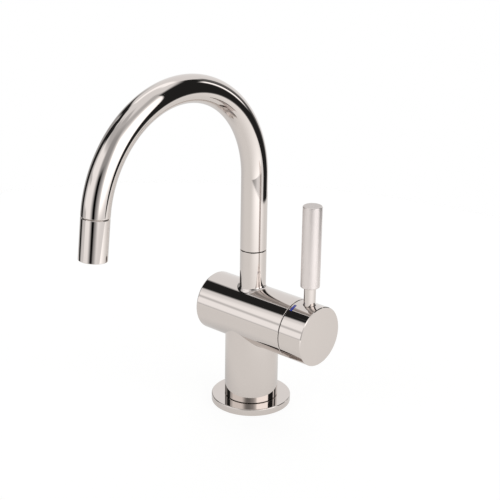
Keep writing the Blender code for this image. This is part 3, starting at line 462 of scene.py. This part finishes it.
def rounded_ring(outer: float, inner: float, low: float, high: float) -> Outline:
    """Outline of a ring whose two outer edges are rounded, open at its closing edge."""
    return [(inner, high), *upper_round(outer, high), *lower_round(outer, low), (inner, low)]


def round_bar(radius: float, low: float, high: float, sides: int, place: Triple = ORIGIN,
              turn: Triple = UPRIGHT) -> Piece:
    """Add a cylinder between two heights of its own axis, then place and turn it."""
    bar = fresh(bpy.ops.mesh.primitive_cylinder_add, vertices=sides, radius=radius, depth=high - low)
    return settle(settle(bar, (0, 0, (low + high) / 2)), place, turn)


def brick(size: Triple, place: Triple, turn: Triple = UPRIGHT) -> Piece:
    """Add a box about its centre.

    Args:
        size: Its lengths along X, Y and Z.
        place: Where its centre goes.
        turn: How it is turned there.

    Returns:
        The box.
    """
    box = fresh(bpy.ops.mesh.primitive_cube_add, size=1.0)
    box.scale = size
    return settle(box, place, turn)


def combine(piece: Piece, *tools: Piece, joining: Joining = Joining.CUT) -> None:
    """Cut a piece with tools, or add or trim it, and put each tool away.

    Args:
        piece: The piece that changes.
        tools: The tools, which are used up.
        joining: What the tools do.
    """
    for tool in tools:
        modify(piece, "BOOLEAN", operation=joining.value, solver="EXACT", object=tool)
        bpy.data.objects.remove(tool, do_unlink=True)
        with editing(piece):
            bpy.ops.mesh.remove_doubles(threshold=MERGE_DISTANCE)


@dataclass(frozen=True)
class RoundWall:
    """Round wall about an axis."""

    centre: Vector
    axis: Vector
    radius: float

    def normal_at(self, point: Vector) -> Vector | None:
        """Find the outward normal at a point.

        Args:
            point: The point.

        Returns:
            The normal, or None where the point is off the wall.
        """
        arm = point - self.centre
        arm -= self.axis * arm.dot(self.axis)
        if abs(arm.length - self.radius) > ON_SURFACE:
            return None
        return arm.normalized()


@dataclass(frozen=True)
class Fillet:
    """Fillet between the barrel and a round branch that leaves it straight up or down."""

    radius: float
    reach: float
    side: float

    def normal_at(self, point: Vector) -> Vector | None:
        """Find the outward normal at a point.

        Args:
            point: The point.

        Returns:
            The normal, or None where the point is off the fillet.
        """
        distance = point.xy.length
        if not self.radius - ON_SURFACE <= distance <= self.reach + ON_SURFACE:
            return None
        depth = math.sqrt(max(BARREL_RADIUS ** 2 - point.y ** 2, 0.0))
        rise = (point.z - BARREL_AXIS) * self.side - depth
        if not -ON_SURFACE <= rise <= self.reach - self.radius + 2 * ON_SURFACE:
            return None
        share = min(max((self.reach - distance) / (self.reach - self.radius), 0.0), 1.0)
        lean = math.asin(share)
        from_barrel = Vector((0.0, point.y, self.side * depth)) / BARREL_RADIUS
        from_branch = Vector((point.x, point.y, 0.0)) / distance
        return (from_barrel * math.cos(lean) + from_branch * math.sin(lean)).normalized()


Surface = RoundWall | Fillet
BARREL_ROUND = RoundWall(AXIS_POINT, Vector((1, 0, 0)), BARREL_RADIUS)


def polish(piece: Piece, surfaces: Sequence[Surface]) -> None:
    """Shade a piece smooth between its sharp edges, with exact normals on its true surfaces.

    Args:
        piece: The finished mesh.
        surfaces: The true surfaces that some of its facets stand for.
    """
    take_up(piece)
    bpy.ops.object.shade_smooth_by_angle(angle=SHARP_ANGLE)
    modify(piece, "WEIGHTED_NORMAL", keep_sharp=True)
    if not surfaces:
        return
    mesh = piece.data
    normals = [corner.vector.copy() for corner in mesh.corner_normals]
    for facet in mesh.polygons:
        for corner in facet.loop_indices:
            point = mesh.vertices[mesh.loops[corner].vertex_index].co
            for surface in surfaces:
                exact = surface.normal_at(point)
                if exact and exact.dot(facet.normal) > FACET_AGREEMENT:
                    normals[corner] = exact
                    break
    mesh.normals_split_custom_set(normals)


# Sub-assemblies


@dataclass
class SubAssembly:
    """Pieces of the tap that belong together and move with one body."""

    carrier: ClassVar[Carrier] = Carrier.TAP

    def enter(self, piece: Piece, name: str, finish: Finish, *nodes: str,
              surfaces: Sequence[Surface] = ()) -> None:
        """Polish, name and dress a finished piece, hang it on the body that carries it, and hide the solids
        that it stands for.

        Args:
            piece: The finished piece.
            name: Its name.
            finish: Its finish.
            nodes: The solids that it stands for.
            surfaces: The true surfaces that some of its facets stand for.
        """
        polish(piece, surfaces)
        piece.name = name
        piece.data.name = name
        dress(piece, finish)
        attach(piece, self.carrier.value)
        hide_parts(*nodes)
        LOG.info("%s: %d faces, rides on %s", name, len(piece.data.polygons), self.carrier.value)


@dataclass
class Foot(SubAssembly):
    """Deck flange, its seal, and the plug with the pipes in the foot of the column."""

    flange_radius: float = 0.0246
    flange_height: float = 0.0043
    flange_round: float = 0.0006
    plug_height: float = 0.014
    plug_radius: float = 0.01375
    lip_width: float = 0.0018
    lip_height: float = 0.0015
    seal_width: float = 0.0028
    seal_thickness: float = 0.0014
    pipe_radius: float = 0.003175
    pipe_wall: float = 0.0009
    pipe_pitch: float = 0.0074
    pipe_top: float = 0.05
    stud_radius: float = 0.0026
    stud_depth: float = 0.0105

    def build(self) -> None:
        """Model and dress the foot."""
        self.build_flange()
        self.build_plug()
        self.build_pipes()

    def build_flange(self) -> None:
        """Model the flange with its rebate and groove, and the seal in the groove."""
        rebate = self.plug_radius + self.lip_width + CLEARANCE
        hole = self.plug_radius + CLEARANCE
        middle = (rebate + self.flange_radius) / 2
        half = self.seal_width / 2
        groove = half + CLEARANCE
        depth = self.seal_thickness + CLEARANCE
        lip = self.lip_height + CLEARANCE
        outline = [(hole, self.flange_height)]
        outline += upper_round(self.flange_radius, self.flange_height, self.flange_round)
        outline += lower_round(self.flange_radius, 0)
        outline += [(middle + groove, 0), (middle + groove, depth), (middle - groove, depth),
                    (middle - groove, 0), (rebate, 0), (rebate, lip), (hole, lip)]
        self.enter(turned(outline, SIDES_LARGE), "flange_disc", POLISHED_NICKEL, "base_flange")
        section = rounded_ring(middle + half, middle - half, 0, self.seal_thickness)
        self.enter(turned(section, SIDES_LARGE), "flange_seal", BLACK_RUBBER, "deck_seal")

    def pipe_places(self) -> dict[str, Point]:
        """Places of the three pipes round the column's axis, by the solid that each stands for."""
        pitch = self.pipe_pitch
        return {"cold_supply_pipe": (0, pitch, 0), "tank_feed_pipe": (0, -pitch, 0),
                "hot_return_pipe": (-pitch, 0, 0)}

    def build_plug(self) -> None:
        """Model the lipped plug with its pipe holes and its stud hole."""
        lip_radius = self.plug_radius + self.lip_width
        outline = [(0, self.plug_height)]
        outline += upper_round(self.plug_radius, self.plug_height)
        outline += [(self.plug_radius, self.lip_height), (lip_radius, self.lip_height)]
        outline += lower_round(lip_radius, 0)
        outline += [(0, 0)]
        plug = turned(outline, SIDES_LARGE)
        top = self.plug_height + CUT_OVERRUN
        for place in self.pipe_places().values():
            hole = round_bar(self.pipe_radius + CLEARANCE, -CUT_OVERRUN, top, SIDES_SMALL, place)
            combine(plug, hole)
        stud_place = (self.pipe_pitch, 0, 0)
        stud = round_bar(self.stud_radius, -CUT_OVERRUN, self.stud_depth, SIDES_SMALL, stud_place)
        combine(plug, stud)
        self.enter(plug, "column_plug", BARE_BRASS, "base_plug")

    def build_pipes(self) -> None:
        """Model one pipe and copy it to its other places."""
        bore = self.pipe_radius - self.pipe_wall
        section = rounded_ring(self.pipe_radius, bore, CLEARANCE, self.pipe_top)
        first = turned(section, SIDES_SMALL)
        for node, place in self.pipe_places().items():
            pipe = first.copy()
            pipe.data = first.data.copy()
            bpy.context.collection.objects.link(pipe)
            settle(pipe, place)
            self.enter(pipe, node.replace("_pipe", "_line"), COPPER_PIPE, node)
        bpy.data.objects.remove(first, do_unlink=True)


@dataclass(frozen=True)
class Branch:
    """Round branch that leaves the barrel straight up or down, with a fillet laid on the barrel."""

    radius: float
    fillet: float
    end: float
    side: float
    sides: int
    sink: float = 0.000008

    def build(self) -> Piece:
        """Turn the branch and lay its fillet on the round of the barrel.

        Returns:
            The branch.
        """
        foot = self.radius + self.fillet
        points = [(0, self.end), *upper_round(self.radius, self.end)]
        points += round_stretch((foot, BARREL_RADIUS + self.fillet), self.fillet, math.pi,
                                math.pi + QUARTER_TURN, FILLET_STEPS)
        points += [(foot, 0), (0, 0)]
        outline = [(radius, BARREL_AXIS + self.side * height) for radius, height in points]
        branch = turned(outline, self.sides)
        top = BARREL_RADIUS + self.fillet + MERGE_DISTANCE
        for vertex in branch.data.vertices:
            height = (vertex.co.z - BARREL_AXIS) * self.side
            if MERGE_DISTANCE < height < top:
                drop = BARREL_RADIUS - math.sqrt(BARREL_RADIUS ** 2 - vertex.co.y ** 2)
                vertex.co.z -= self.side * (drop + self.sink)
        return branch

    def surfaces(self) -> list[Surface]:
        """True surfaces of the branch, its wall and its fillet."""
        reach = self.radius + self.fillet - math.sqrt(2 * self.fillet * self.sink)
        return [RoundWall(Vector(ORIGIN), UPWARDS, self.radius), Fillet(self.radius, reach, self.side)]


@dataclass
class ValveBarrel(SubAssembly):
    """Barrel, column and neck, which are one machined body."""

    column_radius: float = 0.01645
    column_wall: float = 0.0024
    column_foot: float = 0.0046
    column_fillet: float = 0.0004
    neck_fillet: float = 0.0018
    back_length: float = 0.0304
    back_round: float = 0.001
    end_wall: float = 0.003
    shoulder_place: float = -0.013475
    shoulder: float = 0.002
    waterway: float = 0.0032
    socket: float = 0.0048
    socket_depth: float = 0.0162

    def build(self) -> None:
        """Model and dress the body."""
        neck = Branch(TUBE_RADIUS, self.neck_fillet, SEAM_HEIGHT - BARREL_AXIS, 1.0, SIDES_TUBE)
        column_length = BARREL_AXIS - self.column_foot
        column = Branch(self.column_radius, self.column_fillet, column_length, -1.0, SIDES_LARGE)
        outline = [(0, BARREL_FRONT), *upper_round(BARREL_RADIUS, BARREL_FRONT)]
        outline += lower_round(BARREL_RADIUS, -self.back_length, self.back_round)
        outline += [(0, -self.back_length)]
        body = turned(outline, SIDES_LARGE, AXIS_POINT, ALONG_BARREL)
        combine(body, column.build(), neck.build(), joining=Joining.ADD)
        self.bore(body)
        true_surfaces = [BARREL_ROUND, *column.surfaces(), *neck.surfaces()]
        self.enter(body, "column_barrel_neck", POLISHED_NICKEL, "tap_body", surfaces=true_surfaces)

    def bore(self, body: Piece) -> None:
        """Bore the barrel for the valve, the column for the pipes and the neck for the swivel.

        Args:
            body: The solid body.
        """
        cavity_end = self.end_wall - self.back_length
        narrow = BARREL_BORE - self.shoulder
        mouth = BARREL_FRONT + CUT_OVERRUN
        cavity = [(0, mouth), (BARREL_BORE, mouth), (BARREL_BORE, self.shoulder_place),
                  (narrow, self.shoulder_place), (narrow, cavity_end), (0, cavity_end)]
        combine(body, turned(cavity, SIDES_TUBE, AXIS_POINT, ALONG_BARREL))
        column_bore = self.column_radius - self.column_wall
        combine(body, round_bar(column_bore, 0, BARREL_AXIS - self.column_wall, SIDES_TUBE))
        floor = SEAM_HEIGHT - self.socket_depth
        mouth = SEAM_HEIGHT + CUT_OVERRUN
        neck = [(0, mouth), (self.socket, mouth), (self.socket, floor), (self.waterway, floor),
                (self.waterway, BARREL_AXIS), (0, BARREL_AXIS)]
        combine(body, turned(neck, SIDES_SMALL))


@dataclass
class Lever(SubAssembly):
    """Hub with its colour marks, the pin through it and the satin rod on the pin."""

    carrier = Carrier.LEVER
    hub_length: float = 0.0166
    hub_recess: float = 0.0034
    face_wall: float = 0.0042
    chamfer: float = 0.0004
    socket_half: float = 0.0038
    seat_depth: float = 0.003
    thread_radius: float = 0.0025
    rod_radius: float = 0.00575
    rod_base: float = 0.0882
    rod_length: float = 0.0499
    rod_socket: float = 0.008
    rod_round: float = 0.0006
    mark_angle: float = math.radians(24)
    mark_length: float = 0.005
    mark_width: float = 0.0016
    mark_inset: float = 0.0012
    mark_depth: float = 0.0008
    mark_gap: float = 0.00012

    @property
    def hub_end(self) -> float:
        """Place of the hub's face along the barrel."""
        return HUB_START + self.hub_length

    @property
    def pin_place(self) -> Point:
        """Foot of the pin's axis, in the middle of the hub's length."""
        return ((HUB_START + self.hub_end) / 2, 0, 0)

    def build(self) -> None:
        """Model and dress the lever."""
        self.build_hub()
        self.build_mark("cold", self.mark_angle, BLUE_ENAMEL)
        self.build_mark("hot", -self.mark_angle, RED_ENAMEL)
        self.build_pin()
        self.build_rod()

    def build_hub(self) -> None:
        """Model the hub with its chamfered face, its pin hole and the recesses of its marks."""
        floor = HUB_START + self.hub_recess
        outline = [(0, self.hub_end), (BARREL_RADIUS - self.chamfer, self.hub_end),
                   (BARREL_RADIUS, self.hub_end - self.chamfer)]
        outline += lower_round(BARREL_RADIUS, HUB_START)
        outline += [(BARREL_BORE, HUB_START), (BARREL_BORE, floor), (0, floor)]
        hub = turned(outline, SIDES_LARGE, AXIS_POINT, ALONG_BARREL)
        socket_start = floor - CUT_OVERRUN
        socket_end = self.hub_end - self.face_wall
        socket_size = (socket_end - socket_start, 2 * self.socket_half, 2 * self.socket_half)
        socket = brick(socket_size, ((socket_start + socket_end) / 2, 0, BARREL_AXIS))
        mouth = BARREL_TOP + CUT_OVERRUN
        seat_floor = BARREL_TOP - self.seat_depth
        seat = round_bar(PIN_RADIUS + CLEARANCE, seat_floor, mouth, SIDES_SMALL, self.pin_place)
        thread = round_bar(self.thread_radius + CLEARANCE, BARREL_AXIS, mouth, SIDES_SMALL, self.pin_place)
        recesses = [self.mark_block(angle, self.mark_gap) for angle in (self.mark_angle, -self.mark_angle)]
        combine(hub, socket, seat, thread, *recesses)
        self.enter(hub, "hub_cap", POLISHED_NICKEL, "lever_hub", surfaces=[BARREL_ROUND])

    def mark_block(self, angle: float, room: float) -> Piece:
        """Box through the hub's wall where a colour mark lies.

        Args:
            angle: Turn of the mark from the top of the hub.
            room: Widening on every side.

        Returns:
            The box.
        """
        low = BARREL_RADIUS - self.mark_depth + CLEARANCE - room
        crown = BARREL_RADIUS + CUT_OVERRUN
        reach = (low + crown) / 2
        size = (self.mark_width + 2 * room, self.mark_length + 2 * room, crown - low)
        centre = (HUB_START + self.mark_inset + self.mark_width / 2, -reach * math.sin(angle),
                  BARREL_AXIS + reach * math.cos(angle))
        return brick(size, centre, (angle, 0, 0))

    def build_mark(self, name: str, angle: float, finish: Finish) -> None:
        """Model one colour mark, flush with the round of the hub.

        Args:
            name: Which water it marks.
            angle: Turn of the mark from the top of the hub.
            finish: Its enamel.
        """
        mark = self.mark_block(angle, 0)
        crown = round_bar(BARREL_RADIUS, HUB_START, self.hub_end, SIDES_LARGE, AXIS_POINT, ALONG_BARREL)
        combine(mark, crown, joining=Joining.KEEP_SHARED)
        self.enter(mark, name + "_enamel", finish, name + "_mark", surfaces=[BARREL_ROUND])

    def build_pin(self) -> None:
        """Model the pin with its screwed tip."""
        top = self.rod_base + self.rod_socket
        shoulder = BARREL_TOP - self.seat_depth + CLEARANCE
        tip = BARREL_AXIS + self.socket_half
        outline = [(0, top), *upper_round(PIN_RADIUS, top), (PIN_RADIUS, shoulder),
                   (self.thread_radius, shoulder), *lower_round(self.thread_radius, tip), (0, tip)]
        self.enter(turned(outline, SIDES_SMALL, self.pin_place), "lever_stem", POLISHED_NICKEL, "lever_pin")

    def build_rod(self) -> None:
        """Model the rod with its rounded ends and the socket for the pin, with painted shade on its top face.
        """
        top = self.rod_base + self.rod_length
        socket = PIN_RADIUS + CLEARANCE
        socket_top = self.rod_base + self.rod_socket + CLEARANCE
        outline = [(0, top), *upper_round(self.rod_radius, top, self.rod_round)]
        outline += lower_round(self.rod_radius, self.rod_base, self.rod_round)
        outline += [(socket, self.rod_base), (socket, socket_top), (0, socket_top)]
        rod = turned(outline, SIDES_TUBE, self.pin_place)
        self.enter(rod, "grip_rod", SATIN_NICKEL, "lever_rod")
        # The top face gets the darker nickel: painted shade on the rod's top
        rod.data.materials.append(ROD_TOP_SHADE_NICKEL.made())
        for facet in rod.data.polygons:
            if facet.center.z > top - ON_SURFACE:
                facet.material_index = 1


@dataclass
class Gooseneck(SubAssembly):
    """Bent spout tube, and the nozzle on its end with its flow straightener."""

    carrier = Carrier.SPOUT
    riser: float = 0.0459
    bend_radius: float = 0.0632
    bend_sweep: float = math.radians(173.5)
    bend_steps: int = 160
    run_out: float = 0.0006
    nozzle_length: float = 0.0235
    seam_chamfer: float = 0.0004
    lip_height: float = 0.0012
    lip_width: float = 0.001
    straightener_length: float = 0.008
    straightener_gap: float = 0.0003
    jet_radius: float = 0.00075
    jet_pitch: float = 0.0022
    jet_rings: int = 2

    @property
    def bend_height(self) -> float:
        """Height at which the bend starts."""
        return SEAM_HEIGHT + self.riser

    @property
    def flow(self) -> Vector:
        """Direction in which the tube ends."""
        return Vector((0, -math.sin(self.bend_sweep), math.cos(self.bend_sweep)))

    @property
    def tube_end(self) -> Vector:
        """Middle of the tube's outer end.

        Returns:
            The point.
        """
        sweep = self.bend_sweep
        bend_end = Vector((0, -self.bend_radius * (1 - math.cos(sweep)),
                           self.bend_height + self.bend_radius * math.sin(sweep)))
        return bend_end + self.flow * self.run_out

    def build(self) -> None:
        """Model and dress the spout."""
        self.build_tube()
        self.build_nozzle()
        self.build_straightener()

    def build_tube(self) -> None:
        """Extrude and spin a circle into the bent tube, give it its wall and round its ends."""
        circle = fresh(bpy.ops.mesh.primitive_circle_add, vertices=SIDES_TUBE, radius=TUBE_RADIUS)
        tube = settle(circle, (0, 0, SPOUT_FOOT))
        rise = (0, 0, self.bend_height - SPOUT_FOOT)
        with editing(tube):
            bpy.ops.mesh.extrude_region_move(TRANSFORM_OT_translate={"value": rise})
            bpy.ops.mesh.spin(steps=self.bend_steps, angle=self.bend_sweep,
                              center=(0, -self.bend_radius, self.bend_height), axis=(-1, 0, 0))
            bpy.ops.mesh.extrude_region_move(TRANSFORM_OT_translate={"value": self.flow * self.run_out})
            close_skin()
        modify(tube, "SOLIDIFY", thickness=TUBE_WALL, offset=-1.0, use_even_offset=True)
        self.round_ends(tube)
        self.enter(tube, "gooseneck_tube", POLISHED_NICKEL, "spout_tube")

    def round_ends(self, tube: Piece) -> None:
        """Round the outer edge at both ends of the tube.

        Args:
            tube: The tube with its wall.
        """
        ends = ((Vector((0, 0, SPOUT_FOOT)), UPWARDS), (self.tube_end, self.flow))
        outside = TUBE_RADIUS - TUBE_WALL / 2

        def on_outer_edge(vertex: bmesh.types.BMVert) -> bool:
            """Say whether a vertex lies on the outer edge of either end."""
            arms = [(vertex.co - middle, axis) for middle, axis in ends]
            return any(abs(arm.dot(axis)) < MERGE_DISTANCE and outside < arm.length < 2 * TUBE_RADIUS
                       for arm, axis in arms)

        with editing(tube):
            select_vertices(tube, on_outer_edge)
            bpy.ops.mesh.bevel(offset=EDGE_ROUND, segments=ROUND_STEPS, affect="EDGES", clamp_overlap=False)

    def at_end(self) -> dict[str, Triple]:
        """Place and turn of what is turned about the line of flow."""
        return {"place": self.tube_end, "turn": (self.bend_sweep, 0, 0)}

    def build_nozzle(self) -> None:
        """Model the nozzle with its chamfered seam and the lip in its mouth."""
        start = CLEARANCE
        mouth = start + self.nozzle_length
        lip_radius = TUBE_BORE - self.lip_width
        lip_start = mouth - self.lip_height
        outline = [(lip_radius, mouth), *upper_round(TUBE_RADIUS, mouth),
                   (TUBE_RADIUS, start + self.seam_chamfer), (TUBE_RADIUS - self.seam_chamfer, start),
                   (TUBE_BORE, start), (TUBE_BORE, lip_start), (lip_radius, lip_start)]
        nozzle = turned(outline, SIDES_TUBE, **self.at_end())
        self.enter(nozzle, "nozzle_barrel", POLISHED_NICKEL, "nozzle_sleeve")

    def build_straightener(self) -> None:
        """Model the disc with its round jets in a hexagonal pattern."""
        end = CLEARANCE + self.nozzle_length - self.lip_height - self.straightener_gap
        start = end - self.straightener_length
        radius = TUBE_BORE - 2 * CLEARANCE
        outline = [(0, end), *upper_round(radius, end), (radius, start), (0, start)]
        disc = turned(outline, SIDES_SMALL)
        rows = range(-self.jet_rings, self.jet_rings + 1)
        for row, column in ((row, column) for row in rows for column in rows):
            if abs(row + column) > self.jet_rings:
                continue
            place = ((column + row / 2) * self.jet_pitch, row * HEXAGON_RISE * self.jet_pitch, 0)
            jet = round_bar(self.jet_radius, start - CUT_OVERRUN, end + CUT_OVERRUN, SIDES_DRILLING, place)
            combine(disc, jet)
        settle(disc, **self.at_end())
        self.enter(disc, "jet_disc", WHITE_ACETAL, "flow_straightener")


@dataclass
class InnerPieces(SubAssembly):
    """The pieces inside, whose solids are shown as they are with a finish of their own."""

    nodes_by_finish: tuple[tuple[Finish, tuple[str, ...]], ...] = (
        (BARE_BRASS, ("valve_block", "gland_nut", "valve_spindle", "swivel_nipple", "outlet_bush")),
        (BLACK_RUBBER, ("block_ring", "port_gasket", "spindle_ring", "swivel_lower_ring", "swivel_upper_ring",
                        "outlet_washer")),
        (WHITE_CERAMIC, ("fixed_ceramic_disc", "moving_ceramic_disc")),
        (WHITE_ACETAL, ("cartridge_housing", "swivel_lower_bush", "swivel_upper_bush")),
        (BLACK_ACETAL, ("hub_guide_ring", "thrust_washer")),
        (SPRING_STEEL, ("snap_ring", "outlet_screen")),
    )

    def build(self) -> None:
        """Dress the solids that stay."""
        for finish, nodes in self.nodes_by_finish:
            for node in nodes:
                dress(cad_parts[node], finish)
                LOG.info("%s: dressed in %s", node, finish.slot)


# Studio


@dataclass(frozen=True)
class Card:
    """Soft-edged card, screen or opening of the studio, in degrees of bearing and height round the tap."""

    name: str
    bearing: float
    height: float
    half_width: float
    half_height: float
    soft_sides: float
    soft_ends: float
    level: float
    lean: float = 0.0


def grey(level: float) -> Colour:
    """Neutral light of a level."""
    return (level, level, level)


# The sizes of a card that its node group takes, in order
CARD_SIZES = ("bearing", "height", "half_width", "half_height", "soft_sides", "soft_ends", "lean")

# Half widths of the cards' soft edges, in degrees
SHARP = 1
SOFT = 3
BROAD = 6
FADED = 11

# The studio as the polish mirrors it; later cards hang in front of earlier ones
CARDS = (
    Card("ceiling", 142, 57, 92, 10, BROAD, BROAD, 0.6),
    Card("ceiling_back", 170, 74, 34, 9, BROAD, BROAD, 0.6),
    Card("skylight", -40, 60, 44, 6, SOFT, SOFT, 1.4),
    Card("right_window", 86, 14, 28, 25, BROAD, BROAD, 1.8),
    Card("left_window", -166, 16, 32, 27, SOFT, SOFT, 1.2),
    Card("front_wall", 147, 20, 24, 40, FADED, FADED, 0.4),
    Card("front_flag", 150, 5, 10, 21, BROAD, BROAD, 0.0),
    Card("left_bar_high", -135, 16, 14, 3, SOFT, SOFT, 0.7),
    Card("left_bar_low", -132, -8, 18, 4, SOFT, SOFT, 0.7),
    Card("left_wall", -92, 4, 32, 28, FADED, BROAD, 0.45),
    Card("left_flag", -104, 16, 13, 40, SHARP, SHARP, 0.02),
    Card("left_flag_head", -107, 44, 20, 8, SOFT, SOFT, 0.02),
    Card("left_flag_edge", -80, 34, 7, 16, SOFT, SOFT, 0.02, -0.7),
    Card("right_flag", 32, 12, 26, 38, SHARP, BROAD, 0.02),
    Card("right_flag_glow", 7, 10, 7, 24, SOFT, SOFT, 0.15),
    Card("right_flag_opening", 22, 13, 3, 15, SOFT, SOFT, 1.8),
)


@dataclass(frozen=True)
class Pool:
    """Round patch of another level on the mirrored floor, even up to its inner radius, gone at its outer."""

    place: Point
    inner: float
    outer: float
    level: float


@dataclass
class Studio:
    """White studio with dark flags and bright windows, a pale floor and the camera."""

    wall_light: Colour = (0.95, 0.95, 0.95)
    floor_place: Point = (-0.035, -0.035, 0.0)
    floor_radius: float = 0.45
    floor_fade: float = 0.016
    floor_drop: float = 0.00005
    floor_colour: Colour = (0.88, 0.88, 0.87)
    floor_share: float = 0.8
    floor_mirrored: Colour = (0.95, 0.94, 0.92)
    floor_seen: float = 1.09
    window_glow: Pool = Pool((0.65, -0.15, 0.0), 0.2, 0.65, 1.8)
    wall_shade: Pool = Pool((-0.5, 0.2, 0.0), 0.2, 0.6, 0.75)
    foot_shade: Pool = Pool((-0.03, 0.015, 0.0), 0.0, 0.08, 0.65)
    camera_place: Point = (0.49581, -0.56973, 0.38631)
    camera_bearing: float = math.radians(41.184)
    camera_height: float = math.radians(20.801)
    camera_roll: float = math.radians(0.909)
    lens: float = 96.525
    sensor: float = 36.0
    nearest: float = 0.01

    def build(self) -> None:
        """Set up the light, the floor and the camera."""
        self.build_world()
        self.build_floor()
        self.build_camera()
        bpy.context.scene.view_settings.view_transform = "Standard"

    def build_card_group(self) -> bpy.types.NodeTree:
        """Make the node group that lays one soft card over what is behind it.

        Returns:
            The group.
        """
        group = bpy.data.node_groups.new("soft_card", "ShaderNodeTree")
        for name in ("behind", "colour"):
            group.interface.new_socket(name=name, in_out="INPUT", socket_type="NodeSocketColor")
        for name in ("seen_bearing", "seen_height", *CARD_SIZES):
            group.interface.new_socket(name=name, in_out="INPUT", socket_type="NodeSocketFloat")
        group.interface.new_socket(name="seen", in_out="OUTPUT", socket_type="NodeSocketColor")
        board = NodeBoard(group)
        given = board.add("NodeGroupInput").outputs
        rise = board.math("SUBTRACT", given["seen_height"], given["height"])
        middle = board.math("MULTIPLY_ADD", given["lean"], rise, given["bearing"])
        offset = board.math("SUBTRACT", given["seen_bearing"], middle)
        aside = board.math("WRAP", offset, HALF_CIRCLE, -HALF_CIRCLE)
        shares = []
        for distance, half, soft in ((aside, "half_width", "soft_sides"), (rise, "half_height", "soft_ends")):
            start = board.math("SUBTRACT", given[half], given[soft])
            end = board.math("ADD", given[half], given[soft])
            shares.append(board.fall(board.math("ABSOLUTE", distance), start, end))
        seen = board.between(board.math("MULTIPLY", *shares), given["behind"], given["colour"])
        board.add("NodeGroupOutput", seen)
        return group

    def build_world(self) -> None:
        """Light the tap from all sides, with the cards that its polish mirrors."""
        world = bpy.data.worlds.new("studio")
        bpy.context.scene.world = world
        world.use_nodes = True
        world.node_tree.nodes.clear()
        board = NodeBoard(world.node_tree)
        direction = board.add("ShaderNodeTexCoord").outputs["Generated"]
        axes = board.add("ShaderNodeSeparateXYZ", direction).outputs
        bearing = board.math("DEGREES", board.math("ARCTAN2", axes["X"], axes["Y"]))
        height = board.math("DEGREES", board.math("ARCSINE", axes["Z"]))
        group = self.build_card_group()
        seen: object = (*self.wall_light, 1.0)
        for card in CARDS:
            sizes = [getattr(card, name) for name in CARD_SIZES]
            node = board.add("ShaderNodeGroup", seen, (*grey(card.level), 1.0), bearing, height, *sizes,
                             node_tree=group, label=card.name)
            seen = node.outputs["seen"]
        mirrored = board.add("ShaderNodeBackground", seen, 1.0).outputs[0]
        white = board.add("ShaderNodeBackground", (*grey(1.0), 1.0), 1.0).outputs[0]
        straight = board.add("ShaderNodeLightPath").outputs["Is Camera Ray"]
        choice = board.add("ShaderNodeMixShader", straight, mirrored, white).outputs[0]
        board.add("ShaderNodeOutputWorld", choice)

    def build_floor(self) -> None:
        """Lay the round floor, whose edge fades into the light of the studio."""
        floor = fresh(bpy.ops.mesh.primitive_circle_add, vertices=SIDES_TUBE, radius=self.floor_radius,
                      fill_type="NGON")
        settle(floor, (*self.floor_place[:2], -self.floor_drop))
        floor.name = "studio_floor"
        material = bpy.data.materials.new("studio_floor")
        material.use_nodes = True
        material.node_tree.nodes.clear()
        board = NodeBoard(material.node_tree)
        path = board.add("ShaderNodeLightPath").outputs
        mirrored = board.math("MAXIMUM", path["Is Glossy Ray"], path["Is Transmission Ray"])
        shown = board.math("MAXIMUM", path["Is Camera Ray"], mirrored)
        place = board.add("ShaderNodeTexCoord").outputs["Object"]
        light: object = self.floor_mirrored
        for pool in (self.window_glow, self.wall_shade, self.foot_shade):
            share = board.near(place, pool.place, pool.inner, pool.outer)
            light = board.between(share, light, grey(pool.level))
        light = board.between(path["Is Camera Ray"], light, grey(self.floor_seen))
        matt = board.add("ShaderNodeBsdfDiffuse", (*self.floor_colour, 1.0)).outputs[0]
        lit = board.add("ShaderNodeEmission", light, 1.0).outputs[0]
        share = board.math("MULTIPLY", shown, self.floor_share)
        surface = board.add("ShaderNodeMixShader", share, matt, lit).outputs[0]
        inside = board.near(place, self.floor_place, self.floor_radius - self.floor_fade, self.floor_radius)
        clear = board.add("ShaderNodeBsdfTransparent").outputs[0]
        edge = board.add("ShaderNodeMixShader", inside, clear, surface).outputs[0]
        board.add("ShaderNodeOutputMaterial", edge)
        floor.data.materials.append(material)

    def build_camera(self) -> None:
        """Set the camera at its place, bearing, height and roll."""
        bearing = Matrix.Rotation(self.camera_bearing, 4, "Z")
        tilt = Matrix.Rotation(QUARTER_TURN - self.camera_height, 4, "X")
        roll = Matrix.Rotation(self.camera_roll, 4, "Z")
        camera = fresh(bpy.ops.object.camera_add)
        camera.name = "studio_camera"
        camera.data.lens = self.lens
        camera.data.sensor_width = self.sensor
        camera.data.clip_start = self.nearest
        camera.matrix_world = Matrix.Translation(self.camera_place) @ bearing @ tilt @ roll
        bpy.context.scene.camera = camera


def main() -> None:
    """Build the tap and its studio, piece by piece."""
    logging.basicConfig(level=logging.INFO, format="%(message)s")
    for assembly in (Foot(), ValveBarrel(), Lever(), Gooseneck(), InnerPieces()):
        LOG.info("building %s", type(assembly).__name__)
        assembly.build()
    Studio().build()


if __name__ == "__main__":
    main()
